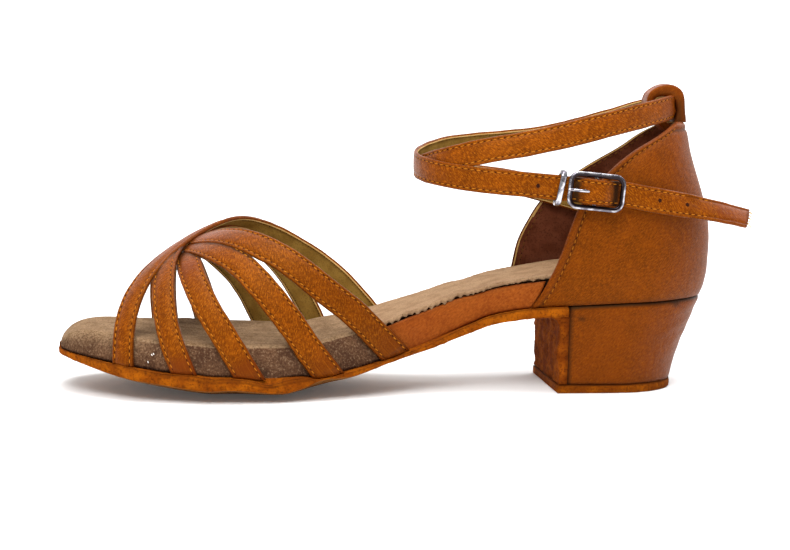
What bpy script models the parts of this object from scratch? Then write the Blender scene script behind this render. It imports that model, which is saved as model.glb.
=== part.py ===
"""Ballroom dance shoe for the left foot: a satin practice sandal with a covered block heel.

X runs from heel to toe, Y towards the outer side of the foot and Z up. The origin is on the floor,
under the heel. All sizes below are in millimetres; the meshes are made in metres.
"""
import math

import bmesh
import bpy
import numpy as np

MM = 0.001
GAP = 0.3

# Sole and last
SOLE_LENGTH = 245.0
SEAT_OVERHANG = 37.0
BALL_WIDTH = 78.0
WAIST_WIDTH = 40.5
SEAT_WIDTH = 52.0
SEAT_DEPTH = 32.0
HEEL_HEIGHT = 32.6
TOE_SPRING = 13.2
INSTEP_HEIGHT = 89.5
INSTEP_LEAN = 6.0

# Outsole, insole and the covers on it
OUTSOLE_EDGE = 5.9
BALL_CAMBER = 3.5
SOLE_RIM = 3.0
TOE_RIM = 0.6
INSOLE_THICKNESS = 12.5
INSOLE_CUP = 1.6
CUP_START = 25.0
CUP_END = 60.0
INSOLE_DRAFT = 1.5
SOCK_THICKNESS = 1.2
SOCK_FRONT = 96.0
COVER_THICKNESS = 1.1
COVER_FRONT_OUTER = 78.2
COVER_FRONT_INNER = 74.4
COVER_FRONT_LEAN = 7.0
COVER_TOP = 0.80
COVER_COUNTER_SHARE = 0.14

# Heel
BREAST = 19.5
FLAP_THICKNESS = 3.3
LIFT_THICKNESS = 3.2
TREAD_BACK = 24.5
TREAD_TAPER = 2.2

# Heel counter
COUNTER_HEIGHT = 66.2
COUNTER_LENGTH = 70.0
COUNTER_WALL = 2.0

# Straps
VAMP_STRAP_WIDTH = 10.0
VAMP_STRAP_THICKNESS = 1.7
VAMP_STRAP_CLEARANCE = 0.45
LAYER_STEP = 0.5
ANKLE_STRAP_WIDTH = 9.3
ANKLE_STRAP_THICKNESS = 1.5
ANKLE_REACH = 102.0
ANKLE_SPREAD = SEAT_WIDTH + 8.0
ANKLE_RISE = 75.0
ANKLE_MIDDLE = 15.0
TAIL_SLANT = 0.42
LOOP_WIDTH = 9.0
LOOP_THICKNESS = 2.0
LOOP_LENGTH = 13.0
LOOP_HEIGHT = 13.2

# Buckle: its middle's place and its tilt in degrees, then its sizes
FRAME_MIDDLE = (12.2, SEAT_WIDTH / 2 + 5.2, 76.1)
FRAME_TILT = 5.5
FRAME_LENGTH = 21.5
FRAME_HEIGHT = 14.0
FRAME_CORNER = 4.0
FRAME_BAR = 1.9
FRAME_THICKNESS = 1.6
CENTRE_BAR_RADIUS = 0.7
CENTRE_BAR_DROP = -1.4
PRONG_RADIUS = 0.65
PRONG_MIDDLE = 6.5
HOLE_PLACES = (1.7, 3.4)
HOLE_RADIUS = 1.3
HOLE_REACH = (-3.0, 6.0)
KEEPER_PLACE = 13.15
KEEPER_WIRE = 0.7
KEEPER_LEAN = -0.10
KEEPER_CLEARANCE = 0.65
TAB_WIDTH = 7.0
TAB_THICKNESS = 1.0
TAB_EYE_CLEARANCE = 0.35
TAB_LENGTH = 17.0

# Each row of the outline: station from the seat's end, the width that the row follows, outer and inner share
OUTLINE = (
    (0.167, SEAT_WIDTH, 0.500, 0.500),
    (0.233, SEAT_WIDTH, 0.481, 0.490),
    (0.294, SEAT_WIDTH, 0.433, 0.442),
    (0.355, WAIST_WIDTH, 0.506, 0.494),
    (0.404, WAIST_WIDTH, 0.494, 0.481),
    (0.457, WAIST_WIDTH, 0.543, 0.519),
    (0.518, BALL_WIDTH, 0.353, 0.321),
    (0.580, BALL_WIDTH, 0.423, 0.385),
    (0.641, BALL_WIDTH, 0.474, 0.436),
    (0.702, BALL_WIDTH, 0.503, 0.478),
    (0.763, BALL_WIDTH, 0.504, 0.500),
    (0.824, BALL_WIDTH, 0.472, 0.494),
    (0.878, BALL_WIDTH, 0.417, 0.462),
    (0.918, BALL_WIDTH, 0.346, 0.410),
    (0.955, BALL_WIDTH, 0.256, 0.333),
    (0.980, BALL_WIDTH, 0.173, 0.250),
    (0.996, BALL_WIDTH, 0.083, 0.160),
    (1.000, BALL_WIDTH, -0.038, 0.038),
)

# Station, share of the heel height and share of the toe spring in the sole's lowest line
SOLE_LINE = (
    (0.000, 0.975, 0.0),
    (0.150, 0.924, 0.0),
    (0.233, 0.887, 0.0),
    (0.282, 0.850, 0.0),
    (0.318, 0.804, 0.0),
    (0.351, 0.742, 0.0),
    (0.380, 0.650, 0.0),
    (0.412, 0.555, 0.0),
    (0.441, 0.470, 0.0),
    (0.482, 0.365, 0.0),
    (0.518, 0.264, 0.0),
    (0.584, 0.125, 0.0),
    (0.641, 0.028, 0.0),
    (0.669, 0.0, 0.0),
    (0.763, 0.0, 0.0),
    (0.804, 0.0, 0.080),
    (0.837, 0.0, 0.170),
    (0.873, 0.0, 0.300),
    (0.906, 0.0, 0.450),
    (0.935, 0.0, 0.610),
    (0.971, 0.0, 0.830),
    (1.000, 0.0, 1.000),
)

# Station, edge camber as a share of the ball camber, and edge thickness as a share of the outsole's edge
SOLE_EDGE = (
    (0.000, 0.0, 0.63),
    (0.233, 0.08, 0.63),
    (0.318, 0.26, 0.62),
    (0.380, 0.37, 0.58),
    (0.482, 0.50, 0.50),
    (0.518, 0.62, 0.48),
    (0.562, 0.80, 0.48),
    (0.610, 0.97, 0.50),
    (0.640, 1.00, 0.86),
    (0.665, 1.00, 1.00),
    (0.750, 1.02, 1.05),
    (0.804, 1.05, 1.03),
    (0.837, 1.01, 0.87),
    (0.876, 0.93, 0.80),
    (0.925, 0.69, 0.64),
    (0.970, 0.43, 0.45),
    (1.000, 0.26, 0.34),
)

# Station and thickness of the insole with its sock, as a share of the insole thickness
INSOLE_LINE = (
    (0.000, 0.92),
    (0.204, 1.01),
    (0.290, 0.90),
    (0.355, 0.89),
    (0.400, 1.03),
    (0.490, 1.07),
    (0.567, 1.06),
    (0.600, 1.04),
    (0.637, 0.93),
    (0.661, 0.88),
    (0.763, 0.87),
    (0.886, 0.80),
    (0.947, 0.64),
    (0.980, 0.56),
    (1.000, 0.42),
)

# Station and ridge height of the foot under the vamp straps, as a share of the instep height
RIDGE_LINE = (
    (0.478, 0.975),
    (0.559, 0.880),
    (0.641, 0.782),
    (0.722, 0.680),
    (0.763, 0.630),
    (0.804, 0.578),
    (0.845, 0.516),
    (0.886, 0.458),
    (0.927, 0.402),
    (1.000, 0.300),
)

# Vamp straps: layer in the crossing and share of the strap width, then rows of station and turn
# (0 at the outer edge, 1 at the inner)
VAMP_STRAPS = (
    (4, 0.86, ((0.897, 0.00), (0.898, 0.11), (0.888, 0.25), (0.864, 0.37), (0.822, 0.47), (0.770, 0.53),
               (0.735, 0.565), (0.689, 0.68), (0.623, 0.79), (0.556, 0.88), (0.490, 1.00))),
    (3, 0.87, ((0.811, 0.00), (0.829, 0.08), (0.838, 0.18), (0.839, 0.28), (0.835, 0.38), (0.823, 0.47),
               (0.792, 0.53), (0.752, 0.59), (0.711, 0.68), (0.671, 0.78), (0.625, 0.88), (0.583, 1.00))),
    (0, 0.95, ((0.718, 0.00), (0.739, 0.05), (0.763, 0.12), (0.783, 0.19), (0.799, 0.29), (0.806, 0.41),
               (0.806, 0.51), (0.795, 0.60), (0.769, 0.68), (0.741, 0.77), (0.705, 0.86), (0.664, 1.00))),
    (1, 1.04, ((0.600, 0.00), (0.629, 0.04), (0.661, 0.11), (0.694, 0.18), (0.722, 0.26), (0.751, 0.33),
               (0.778, 0.41), (0.802, 0.49), (0.814, 0.58), (0.810, 0.69), (0.790, 0.82), (0.763, 1.00))),
    (2, 1.04, ((0.498, 0.00), (0.527, 0.04), (0.567, 0.10), (0.604, 0.145), (0.641, 0.205), (0.673, 0.26),
               (0.706, 0.32), (0.739, 0.40), (0.774, 0.47), (0.808, 0.53), (0.836, 0.61), (0.848, 0.71),
               (0.852, 0.83), (0.844, 1.00))),
)

# Counter: height share, then shares of the counter length for back, outer front and inner front,
# of the seat width for the half width, and of the seat depth for the round of the back
COUNTER = (
    (0.000, -0.517, 0.479, 0.521, 0.490, 0.970),
    (0.075, -0.538, 0.430, 0.495, 0.502, 0.985),
    (0.150, -0.551, 0.394, 0.474, 0.515, 1.000),
    (0.300, -0.556, 0.333, 0.440, 0.522, 1.000),
    (0.450, -0.543, 0.284, 0.366, 0.518, 0.985),
    (0.550, -0.519, 0.246, 0.299, 0.506, 0.940),
    (0.650, -0.490, 0.164, 0.181, 0.481, 0.875),
    (0.750, -0.461, 0.074, 0.036, 0.446, 0.810),
    (0.850, -0.436, -0.057, -0.127, 0.394, 0.720),
    (0.930, -0.423, -0.214, -0.226, 0.320, 0.625),
    (1.000, -0.400, -0.343, -0.343, 0.240, 0.500),
)

# Heel block: height share of the seat height, back edge as a share of the seat overhang
HEEL_BACK = (
    (0.00, 0.000),
    (0.10, 0.040),
    (0.21, 0.110),
    (0.33, 0.200),
    (0.44, 0.310),
    (0.56, 0.440),
    (0.67, 0.585),
    (0.79, 0.740),
    (0.90, 0.880),
    (1.00, 1.000),
)

# Ankle strap's middle line: shares of the ankle's reach, spread and rise, and the lean of its upper edge
# towards the leg in degrees
ANKLE_ROUTE = (
    (0.030, -0.368, 0.475, 0),
    (0.120, -0.368, 0.510, 0),
    (0.210, -0.374, 0.543, 0),
    (0.310, -0.400, 0.576, 3),
    (0.402, -0.407, 0.597, 6),
    (0.490, -0.380, 0.610, 6),
    (0.600, -0.297, 0.629, 4),
    (0.676, -0.150, 0.652, 2),
    (0.711, 0.000, 0.670, 0),
    (0.692, 0.150, 0.695, 4),
    (0.640, 0.283, 0.724, 8),
    (0.560, 0.380, 0.756, 12),
    (0.463, 0.437, 0.786, 14),
    (0.380, 0.455, 0.806, 15),
    (0.253, 0.452, 0.843, 16),
    (0.101, 0.405, 0.892, 16),
    (-0.039, 0.308, 0.935, 14),
    (-0.145, 0.192, 0.966, 8),
    (-0.203, 0.090, 0.984, 2),
    (-0.229, 0.000, 0.990, 0),
    (-0.203, -0.095, 0.982, 2),
    (-0.145, -0.215, 0.956, 8),
    (-0.050, -0.330, 0.908, 12),
    (0.070, -0.405, 0.858, 14),
    (0.200, -0.440, 0.815, 14),
    (0.331, -0.448, 0.790, 12),
    (0.453, -0.425, 0.776, 10),
    (0.577, -0.358, 0.758, 8),
    (0.655, -0.255, 0.734, 4),
    (0.702, -0.155, 0.714, 2),
    (0.728, -0.050, 0.695, 0),
    (0.731, 0.060, 0.680, 0),
    (0.713, 0.165, 0.668, 0),
    (0.671, 0.270, 0.655, 0),
    (0.610, 0.357, 0.642, 0),
    (0.530, 0.423, 0.630, 0),
    (0.440, 0.470, 0.620, 0),
    (0.350, 0.490, 0.610, 0),
)

STRAP_TAIL = (
    (-0.060, 0.482, 0.549, 8),
    (-0.150, 0.475, 0.528, 16),
    (-0.260, 0.448, 0.503, 26),
    (-0.370, 0.402, 0.474, 34),
    (-0.475, 0.345, 0.440, 40),
)

# Buckle tab: how far past the wing's front edge and outside its inner face the tab runs to the buckle
TAB_ROUTE = (
    (-TAB_LENGTH, 0.0),
    (-10.0, 0.0),
    (-4.0, 0.0),
    (0.5, 0.5),
    (2.3, 2.4),
    (1.6, 4.4),
)

# Back loop in the shoe's middle plane: shares of its length and height from the counter's top edge
BACK_LOOP = (
    (0.00, 0.03),
    (0.04, 0.35),
    (0.07, 0.66),
    (0.15, 0.88),
    (0.37, 1.00),
    (0.66, 0.96),
    (0.93, 0.74),
    (0.96, 0.42),
    (0.80, 0.12),
    (0.54, -0.12),
    (0.28, -0.29),
    (0.12, -0.50),
)


def shares(table, column, where):
    """Smooth value of one column of a table at a station, without overshoot between its rows."""
    xs = [row[0] for row in table]
    ys = [row[column] for row in table]
    if where <= xs[0]:
        return ys[0]
    if where >= xs[-1]:
        return ys[-1]
    slopes = [(ys[i + 1] - ys[i]) / (xs[i + 1] - xs[i]) for i in range(len(xs) - 1)]
    ends = [slopes[0]] + [
        0.0 if a * b <= 0 else 2 * a * b / (a + b) for a, b in zip(slopes, slopes[1:])
    ] + [slopes[-1]]
    i = max(k for k in range(len(xs) - 1) if xs[k] <= where)
    span = xs[i + 1] - xs[i]
    t = (where - xs[i]) / span
    return (
        ys[i] * (1 + 2 * t) * (1 - t) ** 2 + ys[i + 1] * t * t * (3 - 2 * t)
        + span * (ends[i] * t * (1 - t) ** 2 - ends[i + 1] * t * t * (1 - t))
    )


def curve(points, steps):
    """Points of a smooth curve through the given points, with an even number of steps between them."""
    pts = [np.array(p, float) for p in points]
    pts = [2 * pts[0] - pts[1]] + pts + [2 * pts[-1] - pts[-2]]
    line = []
    for i in range(1, len(pts) - 2):
        a, b, c, d = pts[i - 1:i + 3]
        for k in range(steps):
            t = k / steps
            line.append(0.5 * (2 * b + (c - a) * t + (2 * a - 5 * b + 4 * c - d) * t * t
                               + (3 * b - a - 3 * c + d) * t ** 3))
    line.append(pts[-2])
    return line


def station(x):
    return (x + SEAT_OVERHANG) / SOLE_LENGTH


def at_station(share):
    return share * SOLE_LENGTH - SEAT_OVERHANG


def sole_line(x):
    s = station(x)
    return shares(SOLE_LINE, 1, s) * HEEL_HEIGHT + shares(SOLE_LINE, 2, s) * TOE_SPRING


def camber(x):
    return shares(SOLE_EDGE, 1, station(x)) * BALL_CAMBER


def feather(x):
    """Height of the outsole's upper edge, where the insole and the upper sit on it."""
    return sole_line(x) + camber(x) + shares(SOLE_EDGE, 2, station(x)) * OUTSOLE_EDGE


def footbed(x):
    """Height of the insole's upper surface at its edge."""
    return feather(x) + shares(INSOLE_LINE, 1, station(x)) * INSOLE_THICKNESS


def ridge(x):
    return shares(RIDGE_LINE, 1, station(x)) * INSTEP_HEIGHT


# Outline of the sole
def edge_points(side):
    """The outline's own points on one side, from the seat's end to the toe; side is 1 outer, -1 inner."""
    points = []
    for step in range(6):
        angle = math.radians(15 * step)
        points.append((
            -SEAT_OVERHANG + SEAT_DEPTH * (1 - math.cos(angle)),
            side * SEAT_WIDTH / 2 * math.sin(angle),
        ))
    for share, width, outer, inner in OUTLINE:
        points.append((at_station(share), side * width * (outer if side > 0 else inner)))
    return points


def outline(side, inset, steps):
    """The outline moved inwards by inset, as smooth points from the seat's end to the toe."""
    line = curve(edge_points(side), steps)
    out = []
    for i, point in enumerate(line):
        ahead = line[min(i + 1, len(line) - 1)]
        behind = line[max(i - 1, 0)]
        along = ahead - behind
        if i == 0:
            along = np.array((0.0, side))
        if i == len(line) - 1:
            along = np.array((0.0, -side))
        along = along / np.linalg.norm(along)
        depth = inset * rim_share(point[0])
        out.append(point + depth * side * np.array((along[1], -along[0])))
    return out


def rim_share(x):
    """The outsole's rim narrows from the straps to the toe."""
    toe = min(1.0, max(0.0, (station(x) - 0.90) / 0.09))
    return 1 + (TOE_RIM / SOLE_RIM - 1) * toe * toe * (3 - 2 * toe)


OUTER_EDGE = outline(1, 0.0, 4)
INNER_EDGE = outline(-1, 0.0, 4)


def half_width(side, x, inset=0.0):
    """Distance of the outline from the middle line at x, for stretches that are not the ends."""
    line = OUTER_EDGE if side > 0 else INNER_EDGE
    xs = [p[0] for p in line]
    return abs(np.interp(x, xs, [p[1] for p in line])) - inset


# Mesh helpers
def material(name, colour, roughness, metallic=0.0):
    mat = bpy.data.materials.new(name)
    mat.use_nodes = True
    shader = mat.node_tree.nodes["Principled BSDF"]
    shader.inputs["Base Color"].default_value = (*colour, 1.0)
    shader.inputs["Roughness"].default_value = roughness
    shader.inputs["Metallic"].default_value = metallic
    return mat


def add(name, verts, faces, mat):
    """A closed mesh object from points in millimetres, with its faces turned outwards."""
    mesh = bpy.data.meshes.new(name)
    mesh.from_pydata([tuple(float(c) * MM for c in v) for v in verts], [], faces)
    bm = bmesh.new()
    bm.from_mesh(mesh)
    bmesh.ops.recalc_face_normals(bm, faces=bm.faces)
    bm.to_mesh(mesh)
    bm.free()
    mesh.materials.append(mat)
    mesh.shade_smooth()
    mesh.set_sharp_from_angle(angle=math.radians(35))
    obj = bpy.data.objects.new(name, mesh)
    bpy.context.scene.collection.objects.link(obj)
    return obj


def shell(name, upper, lower, mat):
    """A closed solid between two grids of points with the same rows and columns."""
    upper = np.array(upper, float)
    lower = np.array(lower, float)
    rows, cols = upper.shape[:2]
    verts = list(upper.reshape(-1, 3)) + list(lower.reshape(-1, 3))
    base = rows * cols

    def up(i, j):
        return i * cols + j

    def low(i, j):
        return base + i * cols + j

    faces = []
    for i in range(rows - 1):
        for j in range(cols - 1):
            faces.append((up(i, j), up(i + 1, j), up(i + 1, j + 1), up(i, j + 1)))
            faces.append((low(i, j), low(i, j + 1), low(i + 1, j + 1), low(i + 1, j)))
    for i in range(rows - 1):
        faces.append((up(i, 0), low(i, 0), low(i + 1, 0), up(i + 1, 0)))
        faces.append((up(i, cols - 1), up(i + 1, cols - 1), low(i + 1, cols - 1), low(i, cols - 1)))
    for j in range(cols - 1):
        faces.append((up(0, j), up(0, j + 1), low(0, j + 1), low(0, j)))
        faces.append((up(rows - 1, j), low(rows - 1, j), low(rows - 1, j + 1), up(rows - 1, j + 1)))
    return add(name, verts, faces, mat)


def ribbon(name, middles, widths, outwards, width, thickness, mat):
    """A flat band: middle line, width directions and outward directions, one row each."""
    upper = []
    lower = []
    for middle, across, out in zip(middles, widths, outwards):
        left = middle + across * width / 2
        right = middle - across * width / 2
        upper.append((left + out * thickness / 2, right + out * thickness / 2))
        lower.append((left - out * thickness / 2, right - out * thickness / 2))
    return shell(name, upper, lower, mat)


def tube(name, points, radius, sides, mat):
    """A round bar along points."""
    pts = [np.array(p, float) for p in points]
    verts = []
    for i, point in enumerate(pts):
        along = pts[min(i + 1, len(pts) - 1)] - pts[max(i - 1, 0)]
        along = along / np.linalg.norm(along)
        side = np.cross(along, (0.0, 0.0, 1.0))
        if np.linalg.norm(side) < 0.1:
            side = np.cross(along, (0.0, 1.0, 0.0))
        side = side / np.linalg.norm(side)
        rise = np.cross(side, along)
        for k in range(sides):
            angle = 2 * math.pi * k / sides
            verts.append(point + radius * (math.cos(angle) * side + math.sin(angle) * rise))
    faces = []
    for i in range(len(pts) - 1):
        for k in range(sides):
            a = i * sides + k
            b = i * sides + (k + 1) % sides
            faces.append((a, b, b + sides, a + sides))
    faces.append(tuple(range(sides)))
    faces.append(tuple((len(pts) - 1) * sides + k for k in range(sides)))
    return add(name, verts, faces, mat)


def combine(target, other, operation):
    """Apply a Boolean to the target with another object, which is then removed."""
    modifier = target.modifiers.new(operation, "BOOLEAN")
    modifier.operation = operation
    modifier.solver = "EXACT"
    modifier.object = other
    other.hide_render = True
    other.display_type = "WIRE"
    graph = bpy.context.evaluated_depsgraph_get()
    mesh = bpy.data.meshes.new_from_object(target.evaluated_get(graph))
    target.modifiers.clear()
    target.data = mesh
    bpy.data.objects.remove(other)
    return target


# Sole pieces
ACROSS = (-1.0, -0.86, -0.66, -0.4, 0.0, 0.4, 0.66, 0.86, 1.0)
FLAT_SHARE = 0.4


def edge_rise(across):
    """Share of the camber at a place across the sole; the middle stays flat."""
    beyond = max(0.0, abs(across) - FLAT_SHARE) / (1 - FLAT_SHARE)
    return beyond ** 1.6


def sole_rows(inset, start, end, steps):
    """Pairs of inner and outer edge points between two lengths along the shoe."""
    outer = outline(1, inset, steps)
    inner = outline(-1, inset, steps)
    rows = []
    for a, b in zip(inner, outer):
        if start <= (a[0] + b[0]) / 2 <= end and abs(b[1] - a[1]) > 4.0:
            rows.append((a, b))
    return rows


def section_at(x, inset):
    return (
        np.array((x, -half_width(-1, x, inset))),
        np.array((x, half_width(1, x, inset))),
    )


def cup(x, across):
    """Depth of the insole's underside below its edge; it is flat over the heel."""
    ahead = min(1.0, max(0.0, (x - CUP_START) / (CUP_END - CUP_START)))
    return INSOLE_CUP * (1 - across * across) * ahead


def make_outsole(mat):
    front = BREAST + FLAP_THICKNESS
    rows = sole_rows(0.0, front + 4.0, SOLE_LENGTH, 2)
    rows = [section_at(front + 1.5, 0.0)] + rows
    upper = []
    lower = []
    for inner, outer in rows:
        top = []
        bottom = []
        for v in ACROSS:
            x, y = inner + (outer - inner) * (v + 1) / 2
            top.append((x, y, feather(x) - cup(x, v)))
            bottom.append((x, y, sole_line(x) + camber(x) * edge_rise(v)))
        upper.append(top)
        lower.append(bottom)
    tip = LIFT_THICKNESS + GAP
    crown = sole_line(front)
    seat = feather(BREAST)
    levels = [(crown - 1.0, seat)] + [
        (tip + (crown - 4.0 - tip) * share,) * 2 for share in (1.0, 0.66, 0.33, 0.0)
    ]
    for low, high in levels:
        half = heel_half_width(low)
        upper.insert(0, [(BREAST + GAP, half * v, high) for v in ACROSS])
        lower.insert(0, [(front, half * v, low) for v in ACROSS])
    return shell("outsole", upper, lower, mat)


INSOLE_COLUMNS = (
    # across, share of the way up the side
    (-1.0, 0.45), (-0.985, 0.80), (-0.93, 0.97), (-0.75, 1.0), (-0.4, 1.0), (0.0, 1.0),
    (0.4, 1.0), (0.75, 1.0), (0.93, 0.97), (0.985, 0.80), (1.0, 0.45),
)


def insole_top(x, sock_on_it):
    depth = SOCK_THICKNESS + GAP if sock_on_it else 0.0
    return footbed(x) - depth


def make_insole(mat):
    rows = sole_rows(SOLE_RIM, -SEAT_OVERHANG, SOLE_LENGTH, 2)
    upper = []
    lower = []
    step_done = False
    for inner, outer in rows:
        middle = (inner[0] + outer[0]) / 2
        covered = middle < SOCK_FRONT
        if not covered and not step_done:
            step_done = True
            for on_it in (True, False):
                a, b = section_at(SOCK_FRONT + (GAP if not on_it else 0.0), SOLE_RIM)
                upper.append(insole_upper_row(a, b, on_it))
                lower.append(insole_lower_row(a, b))
        upper.append(insole_upper_row(inner, outer, covered))
        lower.append(insole_lower_row(inner, outer))
    return shell("insole", upper, lower, mat)


def insole_upper_row(inner, outer, covered):
    row = []
    for v, up in INSOLE_COLUMNS:
        lean = INSOLE_DRAFT * up * v
        x, y = inner + (outer - inner) * (v + 1) / 2
        low = feather(x) + GAP
        high = insole_top(x, covered)
        row.append((x, y - lean, low + (high - low) * up))
    return row


def insole_lower_row(inner, outer):
    row = []
    for v, _ in INSOLE_COLUMNS:
        x, y = inner + (outer - inner) * (v + 1) / 2
        row.append((x, y, feather(x) + GAP - cup(x, v)))
    return row


def make_sock(mat):
    """Sock lining: it covers the heel seat and the waist, and its cut edge stands a little proud."""
    inset = SOLE_RIM + INSOLE_DRAFT
    rows = [pair for pair in sole_rows(inset, -SEAT_OVERHANG, SOCK_FRONT - 3.0, 2)]
    rows.append(section_at(SOCK_FRONT, inset))
    upper = []
    lower = []
    for inner, outer in rows:
        top = []
        for v in ACROSS:
            x, y = inner + (outer - inner) * (v + 1) / 2
            top.append((x, y, footbed(x)))
        upper.append(top)
        lower.append([(x, y, z - SOCK_THICKNESS) for x, y, z in top])
    return shell("sock_lining", upper, lower, mat)


COVER_STEPS = 12


def make_waist_cover(name, side, mat):
    """Smooth strip on the insole's side, between the last vamp strap and the counter."""
    outward = []
    inward = []
    for i in range(COVER_STEPS + 1):
        share = i / COVER_STEPS
        out_row = []
        in_row = []
        for up in (0.0, 0.5, 1.0):
            start = counter_front(side, COVER_COUNTER_SHARE * up) + 3 * GAP
            end = (COVER_FRONT_OUTER if side > 0 else COVER_FRONT_INNER) + COVER_FRONT_LEAN * up
            x = start + (end - start) * share
            low = feather(x) + GAP
            high = low + (footbed(x) - SOCK_THICKNESS - 2 * GAP - low) * COVER_TOP
            z = low + (high - low) * up
            draft = INSOLE_DRAFT * (z - low) / (footbed(x) - low)
            y = half_width(side, x, SOLE_RIM) - draft + GAP
            in_row.append((x, side * y, z))
            out_row.append((x, side * (y + COVER_THICKNESS), z))
        outward.append(out_row)
        inward.append(in_row)
    return shell(name, outward, inward, mat)


# Heel
def heel_half_width(z):
    """Half width of the heel's front face at a height."""
    share = min(1.0, max(0.0, z / HEEL_HEIGHT))
    return half_width(1, BREAST, 0.3) - TREAD_TAPER * (1 - share)


def heel_ring(z):
    """Plan of the heel at a height: flat breast, straight sides and a round back."""
    share = min(1.0, max(0.0, z / HEEL_HEIGHT))
    back = -TREAD_BACK - (SEAT_OVERHANG - 0.8 - TREAD_BACK) * shares(HEEL_BACK, 1, share)
    half = heel_half_width(z)
    depth = SEAT_DEPTH * (0.75 + 0.25 * share)
    ring = []
    steps = 10
    for i in range(-steps, steps + 1):
        angle = math.pi / 2 * i / steps
        ring.append((back + depth * (1 - math.cos(angle)), half * math.sin(angle)))
    bulge = half_width(1, 0.0, 0.3) - half_width(1, BREAST, 0.3)
    ring = [(x, y + math.copysign(bulge, y) * abs(y) / half * share if abs(y) > 0 else y) for x, y in ring]
    ring.append((BREAST, half))
    ring.append((BREAST, -half))
    return ring


def stack(name, rings, mat):
    """A closed solid from plan rings stacked one above the other."""
    count = len(rings[0])
    verts = [p for ring in rings for p in ring]
    faces = []
    for i in range(len(rings) - 1):
        for k in range(count):
            a = i * count + k
            b = i * count + (k + 1) % count
            faces.append((a, b, b + count, a + count))
    faces.append(tuple(range(count)))
    faces.append(tuple((len(rings) - 1) * count + k for k in range(count)))
    return add(name, verts, faces, mat)


def make_heel_block(mat):
    rings = []
    low = LIFT_THICKNESS + GAP
    for share in (0.0, 0.12, 0.3, 0.5, 0.7, 0.85, 0.95, 1.0):
        rings.append([
            (x, y, low + (feather(x) - GAP - low) * share)
            for x, y in heel_ring(low + (HEEL_HEIGHT - low) * share)
        ])
    return stack("heel_block", rings, mat)


def make_heel_lift(mat):
    front = BREAST + FLAP_THICKNESS + GAP
    plan = [(front if x == BREAST else x, y) for x, y in heel_ring(LIFT_THICKNESS)]
    rings = [[(x, y, z) for x, y in plan] for z in (0.0, LIFT_THICKNESS)]
    return stack("heel_lift", rings, mat)


# Heel counter
def counter_front(side, share):
    return shares(COUNTER, 2 if side > 0 else 3, share) * COUNTER_LENGTH


def counter_point(side, along, share, inward):
    """Point of the counter: along runs 0 at the back to 1 at the wing's front; inward is a depth."""
    back = shares(COUNTER, 1, share) * COUNTER_LENGTH
    half = shares(COUNTER, 4, share) * SEAT_WIDTH
    depth = shares(COUNTER, 5, share) * SEAT_DEPTH
    reach = counter_front(side, share) - back
    if reach < depth:
        full = math.acos(1 - reach / depth)
    else:
        full = math.pi / 2 + (reach - depth) / depth
    turn = full * along
    if turn < math.pi / 2:
        x = back + depth * (1 - math.cos(turn))
        y = half * math.sin(turn)
        normal = np.array((-half * math.cos(turn), depth * math.sin(turn)))
    else:
        x = back + depth + depth * (turn - math.pi / 2)
        y = half
        normal = np.array((0.0, 1.0))
    if x > 0:
        y *= half_width(side, x) / half_width(side, 0.0)
    normal = normal / np.linalg.norm(normal)
    x -= normal[0] * inward
    y -= normal[1] * inward
    z = feather(max(x, -SEAT_OVERHANG)) + GAP + share * (COUNTER_HEIGHT - GAP)
    return np.array((x, side * y, z))


def wing_inside(x, share):
    """Distance of the outer wing's inner face from the middle line."""
    ratio = half_width(1, x) / half_width(1, 0.0)
    return shares(COUNTER, 4, share) * SEAT_WIDTH * ratio - COUNTER_WALL


COUNTER_COLUMNS = 11
COUNTER_LEVELS = (0.0, 0.05, 0.12, 0.22, 0.33, 0.45, 0.55, 0.65, 0.75, 0.84, 0.92, 0.97, 1.0)


def make_counter(mat):
    outer = []
    inner = []
    for share in COUNTER_LEVELS:
        out_row = []
        in_row = []
        for k in range(-COUNTER_COLUMNS, COUNTER_COLUMNS + 1):
            side = 1 if k >= 0 else -1
            along = abs(k) / COUNTER_COLUMNS
            out_row.append(counter_point(side, along, share, 0.0))
            in_row.append(counter_point(side, along, share, COUNTER_WALL))
        outer.append(out_row)
        inner.append(in_row)
    return shell("heel_counter", outer, inner, mat)


# Vamp straps
def foot_point(x, turn):
    """Point on the foot's upper surface under the vamp straps; turn is 0 at the outer edge, 1 inner."""
    angle = math.pi * turn
    level = math.cos(angle)
    rise = max(0.0, math.sin(angle))
    side = 1 if level >= 0 else -1
    half = half_width(side, x, SOLE_RIM)
    y = -INSTEP_LEAN * rise * rise + half * math.copysign(abs(level) ** 0.7, level)
    low = feather(x)
    return np.array((x, y, low + (ridge(x) - low) * rise ** 0.95))


def foot_normal(x, turn):
    step = 0.004
    a = foot_point(x + 0.5, turn) - foot_point(x - 0.5, turn)
    b = foot_point(x, min(1.0, turn + step)) - foot_point(x, max(0.0, turn - step))
    normal = np.cross(b, a)
    normal = normal / np.linalg.norm(normal)
    middle = np.array((x, 0.0, feather(x)))
    if np.dot(normal, foot_point(x, turn) - middle) < 0:
        normal = -normal
    return normal


def strap_rows(layer, route):
    """Middle line, width and outward directions of one vamp strap, from its outer to its inner end."""
    line = curve([(at_station(s), t) for s, t in route], 3)
    base = [foot_point(x, t) for x, t in line]
    out = [foot_normal(x, t) for x, t in line]
    middles = []
    for (x, t), point, normal in zip(line, base, out):
        gathered = math.sin(math.pi * min(1.0, max(0.0, t))) ** 4
        lift = VAMP_STRAP_CLEARANCE + VAMP_STRAP_THICKNESS / 2 + layer * LAYER_STEP * gathered
        middles.append(point + normal * lift)
    widths = []
    for i in range(len(middles)):
        along = middles[min(i + 1, len(middles) - 1)] - middles[max(i - 1, 0)]
        across = np.cross(out[i], along)
        widths.append(across / np.linalg.norm(across))
    return middles, widths, out


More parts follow.
